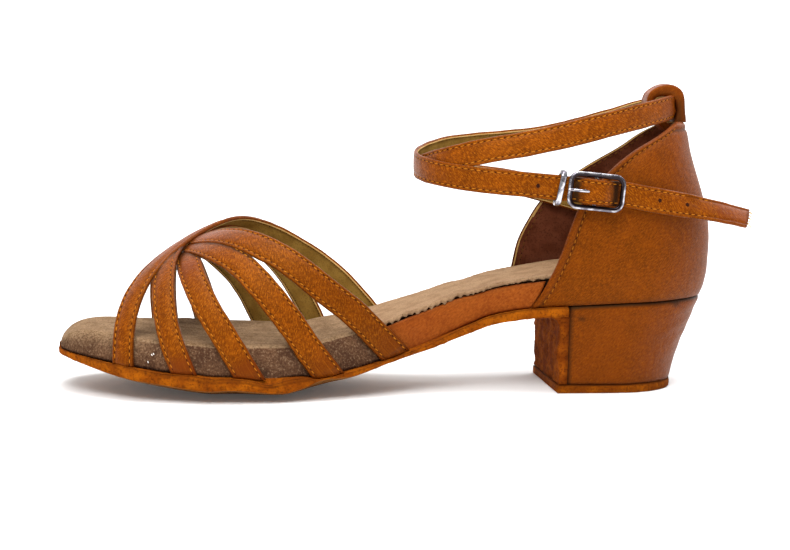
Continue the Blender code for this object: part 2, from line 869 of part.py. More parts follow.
def make_vamp_strap(name, layer, share, route, mat):
    middles, widths, out = strap_rows(layer, route)
    half = VAMP_STRAP_WIDTH * share / 2
    keep = [
        i for i, m in enumerate(middles)
        if m[2] - abs(widths[i][2]) * half > feather(m[0]) + 1.5
    ]
    middles = [middles[i] for i in keep]
    widths = [widths[i] for i in keep]
    out = [out[i] for i in keep]
    thick = VAMP_STRAP_THICKNESS / 2
    upper = [[m + w * half + o * thick, m - w * half + o * thick] for m, w, o in zip(middles, widths, out)]
    lower = [[m + w * half - o * thick, m - w * half - o * thick] for m, w, o in zip(middles, widths, out)]
    for grid in (upper, lower):
        grid.insert(0, [drop_to_sole(p, middles[1], middles[0]) for p in grid[0]])
        grid.append([drop_to_sole(p, middles[-2], middles[-1]) for p in grid[-1]])
    return shell(name, upper, lower, mat)


def drop_to_sole(point, before, end):
    """Carry a strap's corner on in the strap's direction until it stands just above the outsole."""
    along = end - before
    along = along / np.linalg.norm(along)
    for _ in range(6):
        height = feather(point[0]) + GAP
        point = point + along * (height - point[2]) / along[2]
    return point


def make_vamp(mat):
    whole = None
    for k, (layer, share, route) in enumerate(VAMP_STRAPS):
        name = "vamp_straps" if whole is None else "vamp_strap_%d" % k
        strap = make_vamp_strap(name, layer, share, route, mat)
        whole = strap if whole is None else combine(whole, strap, "UNION")
    return whole


# Ankle strap and back loop
def frame_place(along, out, up):
    """Point given in the buckle's own directions: towards the toe, outwards and up."""
    tilt = math.radians(FRAME_TILT)
    x, y, z = FRAME_MIDDLE
    return np.array((
        x + along * math.cos(tilt) - up * math.sin(tilt),
        y + out,
        z + along * math.sin(tilt) + up * math.cos(tilt),
    ))


def buckle_wave():
    """Middle of the strap through the buckle: under the front bar, over the centre bar, under the rear."""
    under = -(FRAME_THICKNESS / 2 + 2.6 * GAP + ANKLE_STRAP_THICKNESS / 2)
    eye = CENTRE_BAR_RADIUS + TAB_EYE_CLEARANCE + TAB_THICKNESS
    over = CENTRE_BAR_DROP + eye + GAP + ANKLE_STRAP_THICKNESS / 2
    reach = FRAME_LENGTH / 2 - FRAME_BAR / 2
    return [
        frame_place(reach + 2.6, under, 0.0),
        frame_place(reach, under, 0.0),
        frame_place(reach * 0.62, under + (over - under) * 0.36, 0.0),
        frame_place(reach * 0.3, under + (over - under) * 0.9, 0.0),
        frame_place(0.0, over, 0.0),
        frame_place(-reach * 0.3, under + (over - under) * 0.9, 0.0),
        frame_place(-reach * 0.62, under + (over - under) * 0.36, 0.0),
        frame_place(-reach, under, 0.0),
        frame_place(-reach - 2.6, under, 0.0),
    ]


def ankle_line():
    """Points of the strap's middle line with the lean of its width: x, y, z and degrees."""
    buckle = [(*point, 0.0) for point in buckle_wave()]
    return curve(ankle_points(ANKLE_ROUTE) + buckle + ankle_points(STRAP_TAIL), 2)


def ankle_points(route):
    return [(a * ANKLE_REACH, b * ANKLE_SPREAD, HEEL_HEIGHT + c * ANKLE_RISE, lean) for a, b, c, lean in route]


def make_ankle_strap(mat):
    rows = ankle_line()
    line = [row[:3] for row in rows]
    widths = []
    out = []
    for i, row in enumerate(rows):
        along = line[min(i + 1, len(line) - 1)] - line[max(i - 1, 0)]
        along = along / np.linalg.norm(along)
        upright = np.array((0.0, 0.0, 1.0)) - along * along[2]
        upright = upright / np.linalg.norm(upright)
        normal = np.cross(upright, along)
        away = 1 if np.dot(normal[:2], line[i][:2] - (ANKLE_MIDDLE, 0.0)) > 0 else -1
        lean = math.radians(row[3]) * away
        widths.append(upright * math.cos(lean) - normal * math.sin(lean))
        out.append(normal * math.cos(lean) + upright * math.sin(lean))
    widths[-1] = widths[-1] + along * TAIL_SLANT
    strap = ribbon("ankle_strap", line, widths, out, ANKLE_STRAP_WIDTH, ANKLE_STRAP_THICKNESS, mat)
    for place in HOLE_PLACES:
        hole = tube("hole", [frame_place(place, out, 0.0) for out in HOLE_REACH], HOLE_RADIUS, 10, mat)
        strap = combine(strap, hole, "DIFFERENCE")
    return strap


def make_back_loop(mat):
    top = counter_point(1, 0.0, 1.0, COUNTER_WALL / 2)
    route = [
        np.array((top[0] + a * LOOP_LENGTH, 0.0, top[2] + GAP + b * LOOP_HEIGHT)) for a, b in BACK_LOOP
    ]
    line = curve(route, 2)
    widths = [np.array((0.0, 1.0, 0.0))] * len(line)
    out = []
    for i in range(len(line)):
        along = line[min(i + 1, len(line) - 1)] - line[max(i - 1, 0)]
        normal = np.cross((0.0, 1.0, 0.0), along)
        out.append(normal / np.linalg.norm(normal))
    return ribbon("back_loop", line, widths, out, LOOP_WIDTH, LOOP_THICKNESS, mat)


# Buckle
def rounded_frame(half_length, half_height, corner):
    ring = []
    for quarter, (cx, cy) in enumerate(((1, 1), (-1, 1), (-1, -1), (1, -1))):
        for k in range(5):
            angle = (quarter + k / 4) * math.pi / 2
            ring.append((
                cx * (half_length - corner) + corner * math.cos(angle),
                cy * (half_height - corner) + corner * math.sin(angle),
            ))
    return ring


def make_frame(mat):
    outer = rounded_frame(FRAME_LENGTH / 2, FRAME_HEIGHT / 2, FRAME_CORNER)
    inner = rounded_frame(FRAME_LENGTH / 2 - FRAME_BAR, FRAME_HEIGHT / 2 - FRAME_BAR, FRAME_CORNER - FRAME_BAR)
    count = len(outer)
    verts = []
    for plan, depth in ((outer, -1), (outer, 1), (inner, 1), (inner, -1)):
        verts += [frame_place(x, depth * FRAME_THICKNESS / 2, z) for x, z in plan]
    faces = []
    for band in range(4):
        for k in range(count):
            a = band * count + k
            b = band * count + (k + 1) % count
            c = (band + 1) % 4 * count
            faces.append((a, b, c + (k + 1) % count, c + k))
    frame = add("buckle_frame", verts, faces, mat)
    reach = FRAME_HEIGHT / 2 - FRAME_BAR / 2
    drop = CENTRE_BAR_DROP
    bar = tube("centre_bar", [
        frame_place(0.0, 0.2, -reach),
        frame_place(0.0, drop * 0.7, -reach),
        frame_place(0.0, drop, -reach + 0.9),
        frame_place(0.0, drop, reach - 0.9),
        frame_place(0.0, drop * 0.7, reach),
        frame_place(0.0, 0.2, reach),
    ], CENTRE_BAR_RADIUS, 8, mat)
    return combine(frame, bar, "UNION")


def make_prong(mat):
    bar_out = CENTRE_BAR_DROP
    reach = FRAME_LENGTH / 2
    eye = CENTRE_BAR_RADIUS + 0.2 + PRONG_RADIUS
    route = [
        frame_place(-eye, bar_out - 0.2, 0.0),
        frame_place(-eye * 0.7, bar_out + eye * 0.7, 0.0),
        frame_place(0.0, bar_out + eye, 0.0),
        frame_place(1.6, bar_out + eye + 0.3, 0.0),
        frame_place(HOLE_PLACES[-1], FRAME_THICKNESS / 2 + 0.9, 0.0),
        frame_place(PRONG_MIDDLE, FRAME_THICKNESS / 2 + GAP + PRONG_RADIUS + 0.5, 0.0),
        frame_place(reach - FRAME_BAR, FRAME_THICKNESS / 2 + GAP + PRONG_RADIUS, 0.0),
        frame_place(reach + 0.3, FRAME_THICKNESS / 2 + GAP + PRONG_RADIUS - 0.1, 0.0),
    ]
    return tube("buckle_prong", route, PRONG_RADIUS, 8, mat)


def make_keeper(mat):
    """Flat metal ring round the strap in front of the buckle."""
    under = -(FRAME_THICKNESS / 2 + 2.6 * GAP + ANKLE_STRAP_THICKNESS / 2)
    half_height = ANKLE_STRAP_WIDTH / 2 + KEEPER_CLEARANCE + KEEPER_WIRE
    half_depth = ANKLE_STRAP_THICKNESS / 2 + KEEPER_CLEARANCE + KEEPER_WIRE
    plan = rounded_frame(half_height, half_depth, half_depth * 0.85)
    verts = []
    count = len(plan)
    sides = 8
    for i, (up, out) in enumerate(plan):
        ahead = np.array(plan[(i + 1) % count]) - np.array(plan[i - 1])
        ahead = ahead / np.linalg.norm(ahead)
        for k in range(sides):
            angle = 2 * math.pi * k / sides
            swell = KEEPER_WIRE * math.cos(angle)
            verts.append(frame_place(
                KEEPER_PLACE + KEEPER_WIRE * 1.4 * math.sin(angle) + KEEPER_LEAN * up,
                under + out - ahead[0] * swell,
                up + ahead[1] * swell,
            ))
    faces = []
    for i in range(count):
        for k in range(sides):
            a = i * sides + k
            b = i * sides + (k + 1) % sides
            c = (i + 1) % count * sides
            faces.append((a, b, c + (k + 1) % sides, c + k))
    return add("strap_keeper", verts, faces, mat)


def make_tab(mat):
    """Tab that is sewn inside the outer wing, comes round its front edge and holds the centre bar."""
    bar = frame_place(0.0, CENTRE_BAR_DROP, 0.0)
    eye = CENTRE_BAR_RADIUS + TAB_EYE_CLEARANCE + TAB_THICKNESS / 2
    low_share = (bar[2] - TAB_WIDTH / 2 - feather(0.0)) / COUNTER_HEIGHT
    high_share = (bar[2] + TAB_WIDTH / 2 - feather(0.0)) / COUNTER_HEIGHT
    edge = counter_front(1, low_share)
    wall = wing_inside(edge - TAB_LENGTH / 2, high_share) - GAP - TAB_THICKNESS / 2
    route = [np.array((edge + x, wall + y)) for x, y in TAB_ROUTE]
    for angle in (5, 40, 80, 120, 160, 200, 240, 275):
        turn = math.radians(angle)
        route.append(np.array((bar[0] + eye * math.cos(turn), bar[1] + eye * math.sin(turn))))
    flat = curve(route, 2)
    slope = math.tan(math.radians(FRAME_TILT))
    line = [np.array((x, y, bar[2] + (x - bar[0]) * slope)) for x, y in flat]
    widths = [frame_place(0.0, 0.0, 1.0) - frame_place(0.0, 0.0, 0.0)] * len(line)
    out = []
    for i in range(len(line)):
        along = line[min(i + 1, len(line) - 1)] - line[max(i - 1, 0)]
        normal = np.cross(widths[i], along)
        out.append(normal / np.linalg.norm(normal))
    tab = ribbon("buckle_tab", line, widths, out, TAB_WIDTH, TAB_THICKNESS, mat)
    slot = box("slot", (bar[0] - 5.0, bar[1] - 5.0, bar[2] - PRONG_RADIUS - 0.5),
               (bar[0] + 2.6, bar[1] + 6.0, bar[2] + PRONG_RADIUS + 0.5), mat)
    return combine(tab, slot, "DIFFERENCE")


def box(name, low, high, mat):
    corners = [(x, y, z) for x in (low[0], high[0]) for y in (low[1], high[1]) for z in (low[2], high[2])]
    faces = [(0, 1, 3, 2), (4, 6, 7, 5), (0, 4, 5, 1), (2, 3, 7, 6), (0, 2, 6, 4), (1, 5, 7, 3)]
    return add(name, corners, faces, mat)


def main():
    for obj in list(bpy.data.objects):
        bpy.data.objects.remove(obj)
    satin = material("satin", (0.44, 0.13, 0.02), 0.5)
    suede = material("sole_suede", (0.42, 0.15, 0.02), 0.95)
    lining = material("insole_suede", (0.36, 0.24, 0.15), 0.9)
    smooth = material("waist_leather", (0.36, 0.09, 0.03), 0.5)
    metal = material("bright_metal", (0.8, 0.8, 0.8), 0.15, 1.0)
    make_outsole(suede)
    make_insole(lining)
    make_sock(lining)
    make_waist_cover("waist_cover_outer", 1, smooth)
    make_waist_cover("waist_cover_inner", -1, smooth)
    make_heel_block(satin)
    make_heel_lift(suede)
    make_counter(satin)
    make_vamp(satin)
    make_ankle_strap(satin)
    make_back_loop(satin)
    make_frame(metal)
    make_prong(metal)
    make_keeper(metal)
    make_tab(satin)


main()
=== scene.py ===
"""Looks of the ballroom dance shoe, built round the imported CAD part.

Sizes are in millimetres, in the part's own frame: X from heel to toe, Y to the outer side, Z up.
"""
import math

import bmesh
import bpy
import numpy as np
from mathutils import Matrix, Vector


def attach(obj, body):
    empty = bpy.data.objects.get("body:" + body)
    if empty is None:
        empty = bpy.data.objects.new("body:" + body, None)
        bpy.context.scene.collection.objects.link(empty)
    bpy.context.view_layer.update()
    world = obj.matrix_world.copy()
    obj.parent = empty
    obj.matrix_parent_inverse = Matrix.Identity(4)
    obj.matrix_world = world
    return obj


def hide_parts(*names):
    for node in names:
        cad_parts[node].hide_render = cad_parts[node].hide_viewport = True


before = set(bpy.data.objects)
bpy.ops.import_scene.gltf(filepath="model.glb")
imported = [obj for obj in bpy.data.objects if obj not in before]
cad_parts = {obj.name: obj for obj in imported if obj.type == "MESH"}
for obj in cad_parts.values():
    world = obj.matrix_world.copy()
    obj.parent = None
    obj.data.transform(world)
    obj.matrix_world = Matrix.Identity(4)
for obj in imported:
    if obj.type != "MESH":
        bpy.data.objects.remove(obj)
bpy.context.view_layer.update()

MM = 0.001
GAP = 0.3

# Sole and last
SOLE_LENGTH = 245.0
SEAT_OVERHANG = 37.0
BALL_WIDTH = 78.0
WAIST_WIDTH = 40.5
SEAT_WIDTH = 52.0
SEAT_DEPTH = 32.0
HEEL_HEIGHT = 32.6
TOE_SPRING = 13.2
INSTEP_HEIGHT = 89.5
INSTEP_LEAN = 6.0

# Outsole, insole and the covers on it
OUTSOLE_EDGE = 5.9
BALL_CAMBER = 3.5
SOLE_RIM = 3.0
TOE_RIM = 0.6
INSOLE_THICKNESS = 12.5
INSOLE_CUP = 1.6
CUP_START = 25.0
CUP_END = 60.0
INSOLE_DRAFT = 1.5
SOCK_THICKNESS = 1.2
SOCK_FRONT = 96.0
COVER_THICKNESS = 1.1
COVER_FRONT_OUTER = 78.2
COVER_FRONT_INNER = 74.4
COVER_FRONT_LEAN = 7.0
COVER_COUNTER_SHARE = 0.14

# Heel
BREAST = 19.5
FLAP_THICKNESS = 3.3
LIFT_THICKNESS = 3.2
TREAD_BACK = 24.5
TREAD_TAPER = 2.2

# Heel counter
COUNTER_HEIGHT = 66.2
COUNTER_LENGTH = 70.0
COUNTER_WALL = 2.0

# Straps
VAMP_STRAP_WIDTH = 10.0
VAMP_STRAP_THICKNESS = 1.7
VAMP_STRAP_CLEARANCE = 0.45
LAYER_STEP = 0.5
ANKLE_STRAP_WIDTH = 9.3
ANKLE_STRAP_THICKNESS = 1.5
ANKLE_REACH = 102.0
ANKLE_SPREAD = SEAT_WIDTH + 8.0
ANKLE_RISE = 75.0
ANKLE_MIDDLE = 15.0
TAIL_SLANT = 0.42
LOOP_WIDTH = 9.0
LOOP_THICKNESS = 2.0
LOOP_LENGTH = 13.0
LOOP_HEIGHT = 13.2

# Buckle: its middle's place and its tilt in degrees, then its sizes
FRAME_MIDDLE = (12.2, SEAT_WIDTH / 2 + 5.2, 76.1)
FRAME_TILT = 5.5
FRAME_LENGTH = 21.5
FRAME_HEIGHT = 14.0
FRAME_CORNER = 4.0
FRAME_BAR = 1.9
FRAME_THICKNESS = 1.6
CENTRE_BAR_RADIUS = 0.7
CENTRE_BAR_DROP = -1.4
PRONG_RADIUS = 0.65
PRONG_MIDDLE = 6.5
HOLE_PLACES = (1.7, 3.4)
KEEPER_PLACE = 13.15
KEEPER_WIRE = 0.7
KEEPER_LEAN = -0.10
KEEPER_CLEARANCE = 0.65
TAB_WIDTH = 7.0
TAB_THICKNESS = 1.0
TAB_EYE_CLEARANCE = 0.35
TAB_LENGTH = 17.0

# Each row of the outline: station from the seat's end, the width that the row follows, outer and inner share
OUTLINE = (
    (0.167, SEAT_WIDTH, 0.500, 0.500),
    (0.233, SEAT_WIDTH, 0.481, 0.490),
    (0.294, SEAT_WIDTH, 0.433, 0.442),
    (0.355, WAIST_WIDTH, 0.506, 0.494),
    (0.404, WAIST_WIDTH, 0.494, 0.481),
    (0.457, WAIST_WIDTH, 0.543, 0.519),
    (0.518, BALL_WIDTH, 0.353, 0.321),
    (0.580, BALL_WIDTH, 0.423, 0.385),
    (0.641, BALL_WIDTH, 0.474, 0.436),
    (0.702, BALL_WIDTH, 0.503, 0.478),
    (0.763, BALL_WIDTH, 0.504, 0.500),
    (0.824, BALL_WIDTH, 0.472, 0.494),
    (0.878, BALL_WIDTH, 0.417, 0.462),
    (0.918, BALL_WIDTH, 0.346, 0.410),
    (0.955, BALL_WIDTH, 0.256, 0.333),
    (0.980, BALL_WIDTH, 0.173, 0.250),
    (0.996, BALL_WIDTH, 0.083, 0.160),
    (1.000, BALL_WIDTH, -0.038, 0.038),
)

# Station, share of the heel height and share of the toe spring in the sole's lowest line
SOLE_LINE = (
    (0.000, 0.975, 0.0), (0.150, 0.924, 0.0), (0.233, 0.887, 0.0), (0.282, 0.850, 0.0),
    (0.318, 0.804, 0.0), (0.351, 0.742, 0.0), (0.380, 0.650, 0.0), (0.412, 0.555, 0.0),
    (0.441, 0.470, 0.0), (0.482, 0.365, 0.0), (0.518, 0.264, 0.0), (0.584, 0.125, 0.0),
    (0.641, 0.028, 0.0), (0.669, 0.0, 0.0), (0.763, 0.0, 0.0), (0.804, 0.0, 0.080), (0.837, 0.0, 0.170),
    (0.873, 0.0, 0.300), (0.906, 0.0, 0.450), (0.935, 0.0, 0.610), (0.971, 0.0, 0.830),
    (1.000, 0.0, 1.000),
)

# Station, edge camber as a share of the ball camber, and edge thickness as a share of the outsole's edge
SOLE_EDGE = (
    (0.000, 0.0, 0.63), (0.233, 0.08, 0.63), (0.318, 0.26, 0.62), (0.380, 0.37, 0.58),
    (0.482, 0.50, 0.50), (0.518, 0.62, 0.48), (0.562, 0.80, 0.48), (0.610, 0.97, 0.50),
    (0.640, 1.00, 0.86), (0.665, 1.00, 1.00), (0.750, 1.02, 1.05), (0.804, 1.05, 1.03),
    (0.837, 1.01, 0.87), (0.876, 0.93, 0.80), (0.925, 0.69, 0.64), (0.970, 0.43, 0.45),
    (1.000, 0.26, 0.34),
)

# Station and thickness of the insole with its sock, as a share of the insole thickness
INSOLE_LINE = (
    (0.000, 0.92), (0.204, 1.01), (0.290, 0.90), (0.355, 0.89), (0.400, 1.03), (0.490, 1.07),
    (0.567, 1.06), (0.600, 1.04), (0.637, 0.93), (0.661, 0.88), (0.763, 0.87), (0.886, 0.80),
    (0.947, 0.64), (0.980, 0.56), (1.000, 0.42),
)

# Station and ridge height of the foot under the vamp straps, as a share of the instep height
RIDGE_LINE = (
    (0.478, 0.975), (0.559, 0.880), (0.641, 0.782), (0.722, 0.680), (0.763, 0.630), (0.804, 0.578),
    (0.845, 0.516), (0.886, 0.458), (0.927, 0.402), (1.000, 0.300),
)

# Vamp straps: layer in the crossing and share of the strap width, then rows of station and turn
# (0 at the outer edge, 1 at the inner)
VAMP_STRAPS = (
    (4, 0.86, ((0.897, 0.00), (0.898, 0.11), (0.888, 0.25), (0.864, 0.37), (0.822, 0.47), (0.770, 0.53),
               (0.735, 0.565), (0.689, 0.68), (0.623, 0.79), (0.556, 0.88), (0.490, 1.00))),
    (3, 0.87, ((0.811, 0.00), (0.829, 0.08), (0.838, 0.18), (0.839, 0.28), (0.835, 0.38), (0.823, 0.47),
               (0.792, 0.53), (0.752, 0.59), (0.711, 0.68), (0.671, 0.78), (0.625, 0.88), (0.583, 1.00))),
    (0, 0.95, ((0.718, 0.00), (0.739, 0.05), (0.763, 0.12), (0.783, 0.19), (0.799, 0.29), (0.806, 0.41),
               (0.806, 0.51), (0.795, 0.60), (0.769, 0.68), (0.741, 0.77), (0.705, 0.86), (0.664, 1.00))),
    (1, 1.04, ((0.600, 0.00), (0.629, 0.04), (0.661, 0.11), (0.694, 0.18), (0.722, 0.26), (0.751, 0.33),
               (0.778, 0.41), (0.802, 0.49), (0.814, 0.58), (0.810, 0.69), (0.790, 0.82), (0.763, 1.00))),
    (2, 1.04, ((0.498, 0.00), (0.527, 0.04), (0.567, 0.10), (0.604, 0.145), (0.641, 0.205), (0.673, 0.26),
               (0.706, 0.32), (0.739, 0.40), (0.774, 0.47), (0.808, 0.53), (0.836, 0.61), (0.848, 0.71),
               (0.852, 0.83), (0.844, 1.00))),
)

# Counter: height share, then shares of the counter length for back, outer front and inner front,
# of the seat width for the half width, and of the seat depth for the round of the back
COUNTER = (
    (0.000, -0.517, 0.479, 0.521, 0.490, 0.970),
    (0.075, -0.538, 0.430, 0.495, 0.502, 0.985),
    (0.150, -0.551, 0.394, 0.474, 0.515, 1.000),
    (0.300, -0.556, 0.333, 0.440, 0.522, 1.000),
    (0.450, -0.543, 0.284, 0.366, 0.518, 0.985),
    (0.550, -0.519, 0.246, 0.299, 0.506, 0.940),
    (0.650, -0.490, 0.164, 0.181, 0.481, 0.875),
    (0.750, -0.461, 0.074, 0.036, 0.446, 0.810),
    (0.850, -0.436, -0.057, -0.127, 0.394, 0.720),
    (0.930, -0.423, -0.214, -0.226, 0.320, 0.625),
    (1.000, -0.400, -0.343, -0.343, 0.240, 0.500),
)

# Heel block: height share of the seat height, back edge as a share of the seat overhang
HEEL_BACK = (
    (0.00, 0.000), (0.10, 0.040), (0.21, 0.110), (0.33, 0.200), (0.44, 0.310), (0.56, 0.440),
    (0.67, 0.585), (0.79, 0.740), (0.90, 0.880), (1.00, 1.000),
)

# Ankle strap's middle line: shares of the ankle's reach, spread and rise, and the lean of its upper edge
# towards the leg in degrees
ANKLE_ROUTE = (
    (0.030, -0.368, 0.475, 0), (0.120, -0.368, 0.510, 0), (0.210, -0.374, 0.543, 0),
    (0.310, -0.400, 0.576, 3), (0.402, -0.407, 0.597, 6), (0.490, -0.380, 0.610, 6),
    (0.600, -0.297, 0.629, 4), (0.676, -0.150, 0.652, 2), (0.711, 0.000, 0.670, 0),
    (0.692, 0.150, 0.695, 4), (0.640, 0.283, 0.724, 8), (0.560, 0.380, 0.756, 12),
    (0.463, 0.437, 0.786, 14), (0.380, 0.455, 0.806, 15), (0.253, 0.452, 0.843, 16),
    (0.101, 0.405, 0.892, 16), (-0.039, 0.308, 0.935, 14), (-0.145, 0.192, 0.966, 8),
    (-0.203, 0.090, 0.984, 2), (-0.229, 0.000, 0.990, 0), (-0.203, -0.095, 0.982, 2),
    (-0.145, -0.215, 0.956, 8), (-0.050, -0.330, 0.908, 12), (0.070, -0.405, 0.858, 14),
    (0.200, -0.440, 0.815, 14), (0.331, -0.448, 0.790, 12), (0.453, -0.425, 0.776, 10),
    (0.577, -0.358, 0.758, 8), (0.655, -0.255, 0.734, 4), (0.702, -0.155, 0.714, 2),
    (0.728, -0.050, 0.695, 0), (0.731, 0.060, 0.680, 0), (0.713, 0.165, 0.668, 0),
    (0.671, 0.270, 0.655, 0), (0.610, 0.357, 0.642, 0), (0.530, 0.423, 0.630, 0),
    (0.440, 0.470, 0.620, 0), (0.350, 0.490, 0.610, 0),
)

STRAP_TAIL = (
    (-0.060, 0.482, 0.549, 8), (-0.150, 0.475, 0.528, 16), (-0.260, 0.448, 0.503, 26),
    (-0.370, 0.402, 0.474, 34), (-0.475, 0.345, 0.440, 40),
)

# Buckle tab: how far past the wing's front edge and outside its inner face the tab runs to the buckle
TAB_ROUTE = (
    (-TAB_LENGTH, 0.0), (-10.0, 0.0), (-4.0, 0.0), (0.5, 0.5), (2.3, 2.4), (1.6, 4.4),
)

# Back loop in the shoe's middle plane: shares of its length and height from the counter's top edge
BACK_LOOP = (
    (0.00, 0.03), (0.04, 0.35), (0.07, 0.66), (0.15, 0.88), (0.37, 1.00), (0.66, 0.96), (0.93, 0.74),
    (0.96, 0.42), (0.80, 0.12), (0.54, -0.12), (0.28, -0.29), (0.12, -0.50),
)


def shares(table, column, where):
    """Smooth value of one column of a table at a station, without overshoot between its rows."""
    xs = [row[0] for row in table]
    ys = [row[column] for row in table]
    if where <= xs[0]:
        return ys[0]
    if where >= xs[-1]:
        return ys[-1]
    slopes = [(ys[i + 1] - ys[i]) / (xs[i + 1] - xs[i]) for i in range(len(xs) - 1)]
    ends = [slopes[0]] + [
        0.0 if a * b <= 0 else 2 * a * b / (a + b) for a, b in zip(slopes, slopes[1:])
    ] + [slopes[-1]]
    i = max(k for k in range(len(xs) - 1) if xs[k] <= where)
    span = xs[i + 1] - xs[i]
    t = (where - xs[i]) / span
    return (
        ys[i] * (1 + 2 * t) * (1 - t) ** 2 + ys[i + 1] * t * t * (3 - 2 * t)
        + span * (ends[i] * t * (1 - t) ** 2 - ends[i + 1] * t * t * (1 - t))
    )


def curve(points, steps):
    """Points of a smooth curve through the given points, with an even number of steps between them."""
    pts = [np.array(p, float) for p in points]
    pts = [2 * pts[0] - pts[1]] + pts + [2 * pts[-1] - pts[-2]]
    line = []
    for i in range(1, len(pts) - 2):
        a, b, c, d = pts[i - 1:i + 3]
        for k in range(steps):
            t = k / steps
            line.append(0.5 * (2 * b + (c - a) * t + (2 * a - 5 * b + 4 * c - d) * t * t
                               + (3 * b - a - 3 * c + d) * t ** 3))
    line.append(pts[-2])
    return line


def unit(vector):
    return vector / np.linalg.norm(vector)


def tangent(line, i):
    """Direction of a line at one of its points, not brought to length 1."""
    return line[min(i + 1, len(line) - 1)] - line[max(i - 1, 0)]


def run_along(line):
    """Distance of every point from the line's start."""
    return np.concatenate([[0], np.cumsum(np.linalg.norm(np.diff(line, axis=0), axis=1))])


def station(x):
    return (x + SEAT_OVERHANG) / SOLE_LENGTH


def at_station(share):
    return share * SOLE_LENGTH - SEAT_OVERHANG


def sole_line(x):
    s = station(x)
    return shares(SOLE_LINE, 1, s) * HEEL_HEIGHT + shares(SOLE_LINE, 2, s) * TOE_SPRING


def camber(x):
    return shares(SOLE_EDGE, 1, station(x)) * BALL_CAMBER


def feather(x):
    """Height of the outsole's upper edge, where the insole and the upper sit on it."""
    return sole_line(x) + camber(x) + shares(SOLE_EDGE, 2, station(x)) * OUTSOLE_EDGE


def footbed(x):
    """Height of the insole's upper surface at its edge."""
    return feather(x) + shares(INSOLE_LINE, 1, station(x)) * INSOLE_THICKNESS


def ridge(x):
    return shares(RIDGE_LINE, 1, station(x)) * INSTEP_HEIGHT


def edge_points(side):
    """The outline's own points on one side, from the seat's end to the toe; side is 1 outer, -1 inner."""
    points = []
    for step in range(6):
        angle = math.radians(15 * step)
        points.append((
            -SEAT_OVERHANG + SEAT_DEPTH * (1 - math.cos(angle)),
            side * SEAT_WIDTH / 2 * math.sin(angle),
        ))
    for share, width, outer, inner in OUTLINE:
        points.append((at_station(share), side * width * (outer if side > 0 else inner)))
    return points


def outline(side, inset, steps):
    """The outline moved inwards by inset, as smooth points from the seat's end to the toe."""
    line = curve(edge_points(side), steps)
    out = []
    for i, point in enumerate(line):
        along = tangent(line, i)
        if i == 0:
            along = np.array((0.0, side))
        if i == len(line) - 1:
            along = np.array((0.0, -side))
        along = unit(along)
        depth = inset * rim_share(point[0])
        out.append(point + depth * side * np.array((along[1], -along[0])))
    return out


def rim_share(x):
    """The outsole's rim narrows from the straps to the toe."""
    toe = min(1.0, max(0.0, (station(x) - 0.90) / 0.09))
    return 1 + (TOE_RIM / SOLE_RIM - 1) * toe * toe * (3 - 2 * toe)


OUTER_EDGE = outline(1, 0.0, 4)
INNER_EDGE = outline(-1, 0.0, 4)


def half_width(side, x, inset=0.0):
    """Distance of the outline from the middle line at x, for stretches that are not the ends."""
    line = OUTER_EDGE if side > 0 else INNER_EDGE
    xs = [p[0] for p in line]
    return abs(np.interp(x, xs, [p[1] for p in line])) - inset


FLAT_SHARE = 0.4
END_WIDTH = 4.0


def edge_rise(across):
    """Share of the camber at a place across the sole; the middle stays flat."""
    beyond = max(0.0, abs(across) - FLAT_SHARE) / (1 - FLAT_SHARE)
    return beyond ** 1.6


def sole_rows(inset, start, end, steps):
    """Pairs of inner and outer edge points between two lengths along the shoe, without the narrow ends."""
    outer = outline(1, inset, steps)
    inner = outline(-1, inset, steps)
    rows = []
    for a, b in zip(inner, outer):
        if start <= (a[0] + b[0]) / 2 <= end and abs(b[1] - a[1]) > END_WIDTH:
            rows.append((a, b))
    return rows


def between(inner, outer, v):
    """Place across the sole; v is -1 at the inner edge and 1 at the outer."""
    return inner + (outer - inner) * (v + 1) / 2


def cup(x, across):
    """Depth of the insole's underside below its edge; it is flat over the heel."""
    ahead = min(1.0, max(0.0, (x - CUP_START) / (CUP_END - CUP_START)))
    return INSOLE_CUP * (1 - across * across) * ahead


def heel_half_width(z):
    """Half width of the heel's front face at a height."""
    share = min(1.0, max(0.0, z / HEEL_HEIGHT))
    return half_width(1, BREAST, 0.3) - TREAD_TAPER * (1 - share)


def heel_ring(z):
    """Plan of the heel at a height: flat breast, straight sides and a round back."""
    share = min(1.0, max(0.0, z / HEEL_HEIGHT))
    back = -TREAD_BACK - (SEAT_OVERHANG - 0.8 - TREAD_BACK) * shares(HEEL_BACK, 1, share)
    half = heel_half_width(z)
    depth = SEAT_DEPTH * (0.75 + 0.25 * share)
    ring = []
    steps = 10
    for i in range(-steps, steps + 1):
        angle = math.pi / 2 * i / steps
        ring.append((back + depth * (1 - math.cos(angle)), half * math.sin(angle)))
    bulge = half_width(1, 0.0, 0.3) - half_width(1, BREAST, 0.3)
    ring = [(x, y + math.copysign(bulge, y) * abs(y) / half * share if abs(y) > 0 else y) for x, y in ring]
    ring.append((BREAST, half))
    ring.append((BREAST, -half))
    return ring


def counter_front(side, share):
    return shares(COUNTER, 2 if side > 0 else 3, share) * COUNTER_LENGTH


